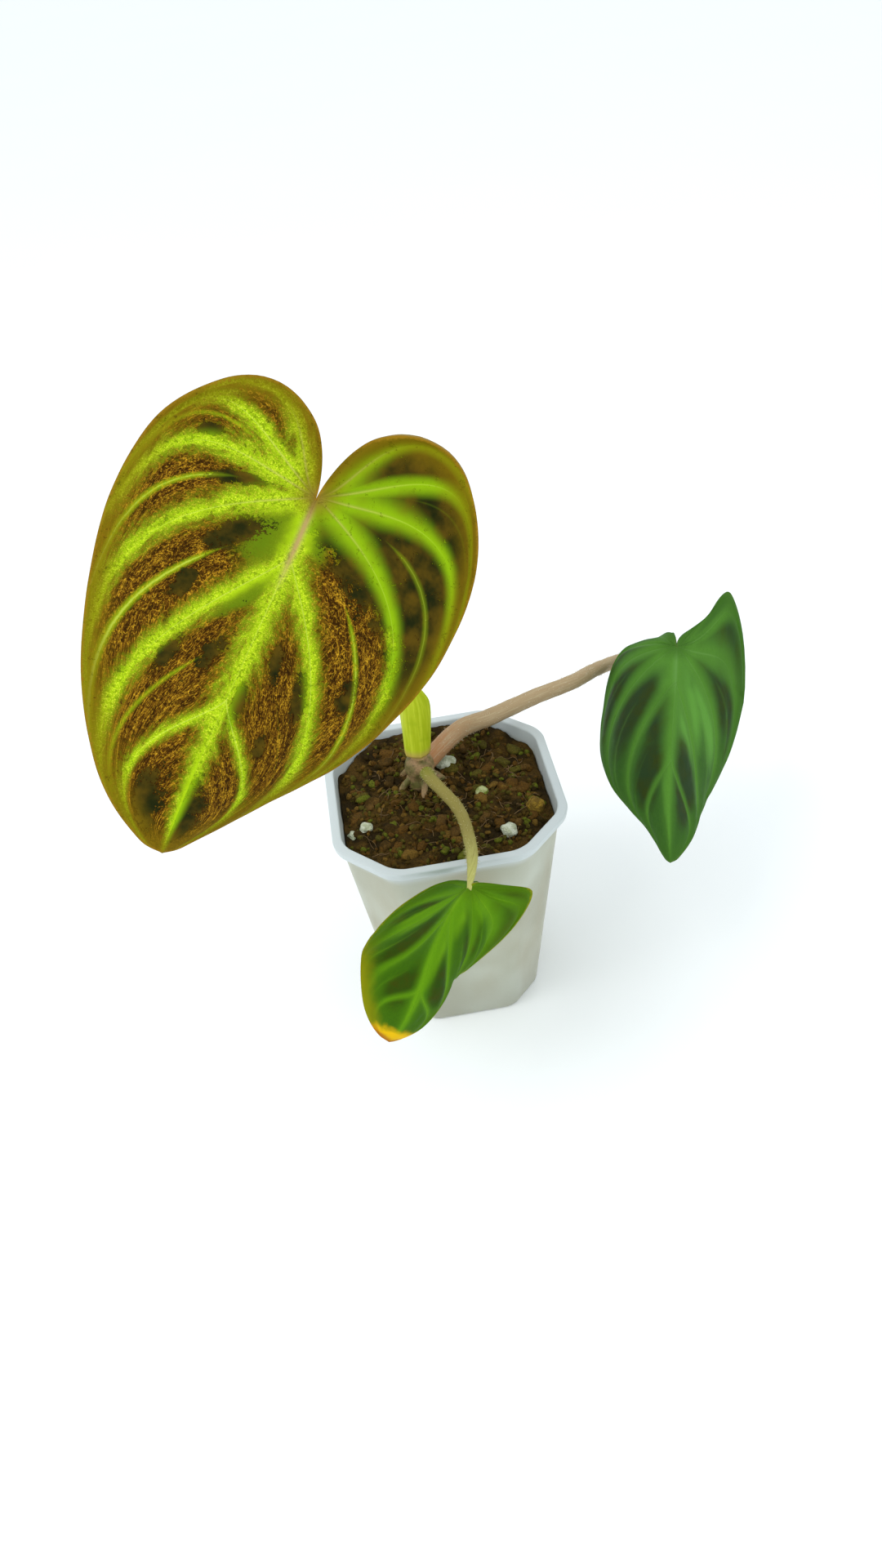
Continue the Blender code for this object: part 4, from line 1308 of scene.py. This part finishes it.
def build_stem():
    """The stubby stem with its leaf scars, and the stout roots that run from it into the soil."""
    bm = bmesh.new()
    path = [CROWN + Vector((0, 0, z)) for z, _ in STEM_PROFILE]
    tube_into(bm, path, [radius for _, radius in STEM_PROFILE], 40, 70)
    rng = random.Random(SEED + 1)
    for k in range(ROOTS):
        angle = math.radians(ROOT_START) + math.tau * k / ROOTS + rng.uniform(-0.12, 0.12)
        path = []
        for out, z in ROOT_PATH:
            sway = angle + rng.uniform(-0.1, 0.1)
            path.append(CROWN + Vector((*polar(sway, out), z)))
        tube_into(bm, path, [ROOT_RADIUS * (1.4 - 0.12 * i) for i in range(len(path))], 12, 30)
    roughen(bm, (500, 0.0002), (1500, 0.0001))
    finish_piece("stem_and_roots", bm, [stem_finish()], ["stem"])


def build_sheath():
    """The sheath that wrapped the newest leaf: a curled strap, ridged and drawn to a point."""
    profile = np.array(SHEATH_PROFILE)
    bm, spots = chart_grid(44, 60)
    chart = bm.loops.layers.uv.new("skin")
    along = bm.verts.layers.float.new("along")
    at = spots[:, 1] * (len(profile) - 1)
    heights, openings, radii = through(profile, at).T
    bm.verts.index_update()
    for face in bm.faces:
        for loop in face.loops:
            i = loop.vert.index
            loop[chart].uv = (spots[i, 0] * 11.0, (heights[i] - profile[0, 0]) / MM)
    for i, vertex in enumerate(bm.verts):
        across = spots[i, 0] * 2 - 1
        angle = math.radians(SHEATH_FACES + across * openings[i] / 2)
        spoke = Vector((*polar(angle, 1), 0))
        ridge = 0.00025 * math.exp(-(((abs(across) - 0.3) / 0.1) ** 2)) * (1 - spots[i, 1])
        flare = 0.0008 * abs(across) ** 3 * spots[i, 1]
        centre = CROWN + Vector((0, 0, heights[i]))
        centre += Vector(SHEATH_LEAN) * (heights[i] - profile[0, 0])
        vertex.co = centre + spoke * (radii[i] + SHEATH_WALL + ridge + flare)
        vertex[along] = spots[i, 1]
    piece = finish_piece(
        "lime_sheath", bm, [sheath_finish()], ["cataphyll"], turn_out=True
    )
    wall = piece.modifiers.new("thickness", "SOLIDIFY")
    wall.thickness = SHEATH_WALL * SHEATH_SKIN
    wall.offset = -1.0


def soften(points, radius, steps=4):
    """A line of points with its inner corners rounded."""
    made = [points[0]]
    for before, corner, after in zip(points, points[1:], points[2:]):
        corner = Vector(corner)
        ways = [Vector(before) - corner, Vector(after) - corner]
        ease = min(radius, ways[0].length * 0.45, ways[1].length * 0.45)
        start, end = (corner + way.normalized() * ease for way in ways)
        for k in range(steps + 1):
            f = k / steps
            made.append(tuple(start * (1 - f) ** 2 + corner * 2 * f * (1 - f) + end * f**2))
    return made + [points[-1]]


def build_pot():
    """A thin square pot with cut corners: foot, wall, turned-out lip, inside and drain holes."""
    foot, top = pot_half(0), pot_half(POT_HEIGHT)
    lip = POT_HEIGHT - LIP_HEIGHT
    outside = [(foot - FOOT_ROUND, 0.0), (foot, 0.0), (pot_half(lip), lip)]
    outside += [(pot_half(lip) + LIP_REACH, lip), (top + LIP_REACH, POT_HEIGHT)]
    inside = [(top - POT_WALL, POT_HEIGHT), (foot - POT_WALL, POT_FLOOR)]
    inside.append((foot - FOOT_ROUND - 0.004, POT_FLOOR))
    low = soften(outside[:3], FOOT_ROUND * 1.1, 6)
    upper = [low[-1], *outside[3:], inside[0], (pot_half(lip, POT_WALL), lip)]
    line = low[:-1] + soften(upper, 0.0006, 3)[1:]
    line[len(low) - 1 : len(low) - 1] = [outside[2]]
    line += soften([line[-1], *inside[1:]], FOOT_ROUND, 6)[1:]
    bm = bmesh.new()
    cut = 1 - 2 * POT_TOP_CUT / POT_TOP
    corners = []
    for turn in range(4):
        spin = Matrix.Rotation(math.radians(90 * turn), 3, "Z")
        corners += [bm.verts.new(spin @ Vector((1, side, 0))) for side in (-cut, cut)]
    bm.faces.new(corners)
    bmesh.ops.bevel(
        bm, geom=bm.verts[:], offset=0.11, segments=6, profile=0.5, affect="VERTICES", material=-1
    )
    width, height = line[0]
    bmesh.ops.scale(bm, vec=(width, width, 1), verts=bm.verts)
    rim = open_edges(bm)
    for half, z in line[1:]:
        rim, moved = extrude_rim(bm, rim)
        bmesh.ops.scale(bm, vec=(half / width, half / width, 1), verts=moved)
        bmesh.ops.translate(bm, vec=(0, 0, z - height), verts=moved)
        width, height = half, z
    bmesh.ops.holes_fill(bm, edges=rim, sides=0)
    look = pot_finish()
    piece = finish_piece("frosted_pot", bm, [look], ["pot"], turn_out=True)
    drill_drains(piece)
    piece.data.set_sharp_from_angle(angle=math.radians(38))


def drill_drains(piece):
    """Cuts the round drain holes through the pot's floor."""
    bm = bmesh.new()
    for k in range(DRAIN_HOLES):
        angle = math.tau * (k + 0.5) / DRAIN_HOLES
        middle = Matrix.Translation((*polar(angle, DRAIN_CIRCLE), 0))
        sizes = {"radius1": DRAIN_RADIUS, "radius2": DRAIN_RADIUS, "depth": 0.006}
        bmesh.ops.create_cone(bm, cap_ends=True, segments=28, matrix=middle, **sizes)
    drill = put_in_scene("drains", mesh_from("drains", bm))
    cut = piece.modifiers.new("drains", "BOOLEAN")
    cut.operation, cut.object, cut.solver = "DIFFERENCE", drill, "EXACT"
    graph = bpy.context.evaluated_depsgraph_get()
    solid = bpy.data.meshes.new_from_object(piece.evaluated_get(graph))
    piece.modifiers.clear()
    piece.data = solid
    bpy.data.objects.remove(drill)
    solid.shade_smooth()


# ---------------------------------------------------------------- stage


def build_stage():
    """A pale floor that runs past the camera's view."""
    bm = bmesh.new()
    bmesh.ops.create_grid(bm, x_segments=2, y_segments=2, size=FLOOR_HALF)
    mesh = mesh_from("floor", bm)
    mesh.materials.append(floor_finish())
    floor = put_in_scene("floor", mesh)


def light_stage():
    """Pale light from all round, and soft lamps that shine at the plant."""
    world = bpy.data.worlds.new("studio")
    bpy.context.scene.world = world
    world.use_nodes = True
    backdrop = world.node_tree.nodes["Background"]
    code, strength = SKY
    backdrop.inputs["Color"].default_value = colour(code)
    backdrop.inputs["Strength"].default_value = strength
    for name, place, size, power, code in LAMPS:
        lamp = bpy.data.lights.new(name, "AREA")
        lamp.shape, lamp.size, lamp.energy = "DISK", size, power
        lamp.color = colour(code)[:3]
        box = put_in_scene(name, lamp)
        box.location = place
        way = Vector(LAMP_AIM) - Vector(place)
        box.rotation_euler = way.to_track_quat("-Z", "Y").to_euler()
    bpy.context.scene.view_settings.view_transform = "Standard"


def place_camera():
    """The photograph's view: down at the pot from the front, turned a little to the side."""
    up_angle, turn, roll = (math.radians(a) for a in (LOOK_ELEVATION, LOOK_TURN, LOOK_ROLL))
    level = math.cos(up_angle)
    forward = Vector((math.sin(turn) * level, math.cos(turn) * level, -math.sin(up_angle)))
    right = forward.cross(Vector((0, 0, 1))).normalized()
    up = right.cross(forward)
    tilted_right = right * math.cos(roll) + up * math.sin(roll)
    tilted_up = up * math.cos(roll) - right * math.sin(roll)
    lens = bpy.data.cameras.new("camera")
    lens.sensor_width = SENSOR
    lens.lens = SENSOR * FOCAL_POINTS / FRAME_HEIGHT
    lens.clip_start, lens.clip_end = 0.01, 50
    camera = put_in_scene("camera", lens)
    turned = Matrix((tilted_right, tilted_up, -forward)).transposed().to_4x4()
    camera.matrix_world = Matrix.Translation(EYE) @ turned
    bpy.context.scene.camera = camera


def build_plant():
    for name in LEAVES:
        build_blade(name)
    for name in LEAVES:
        build_stalk(name)
    build_stem()
    build_sheath()
    build_soil()
    build_soil_pieces()
    build_grains()
    build_pot()


place_camera()
light_stage()
build_stage()
build_plant()
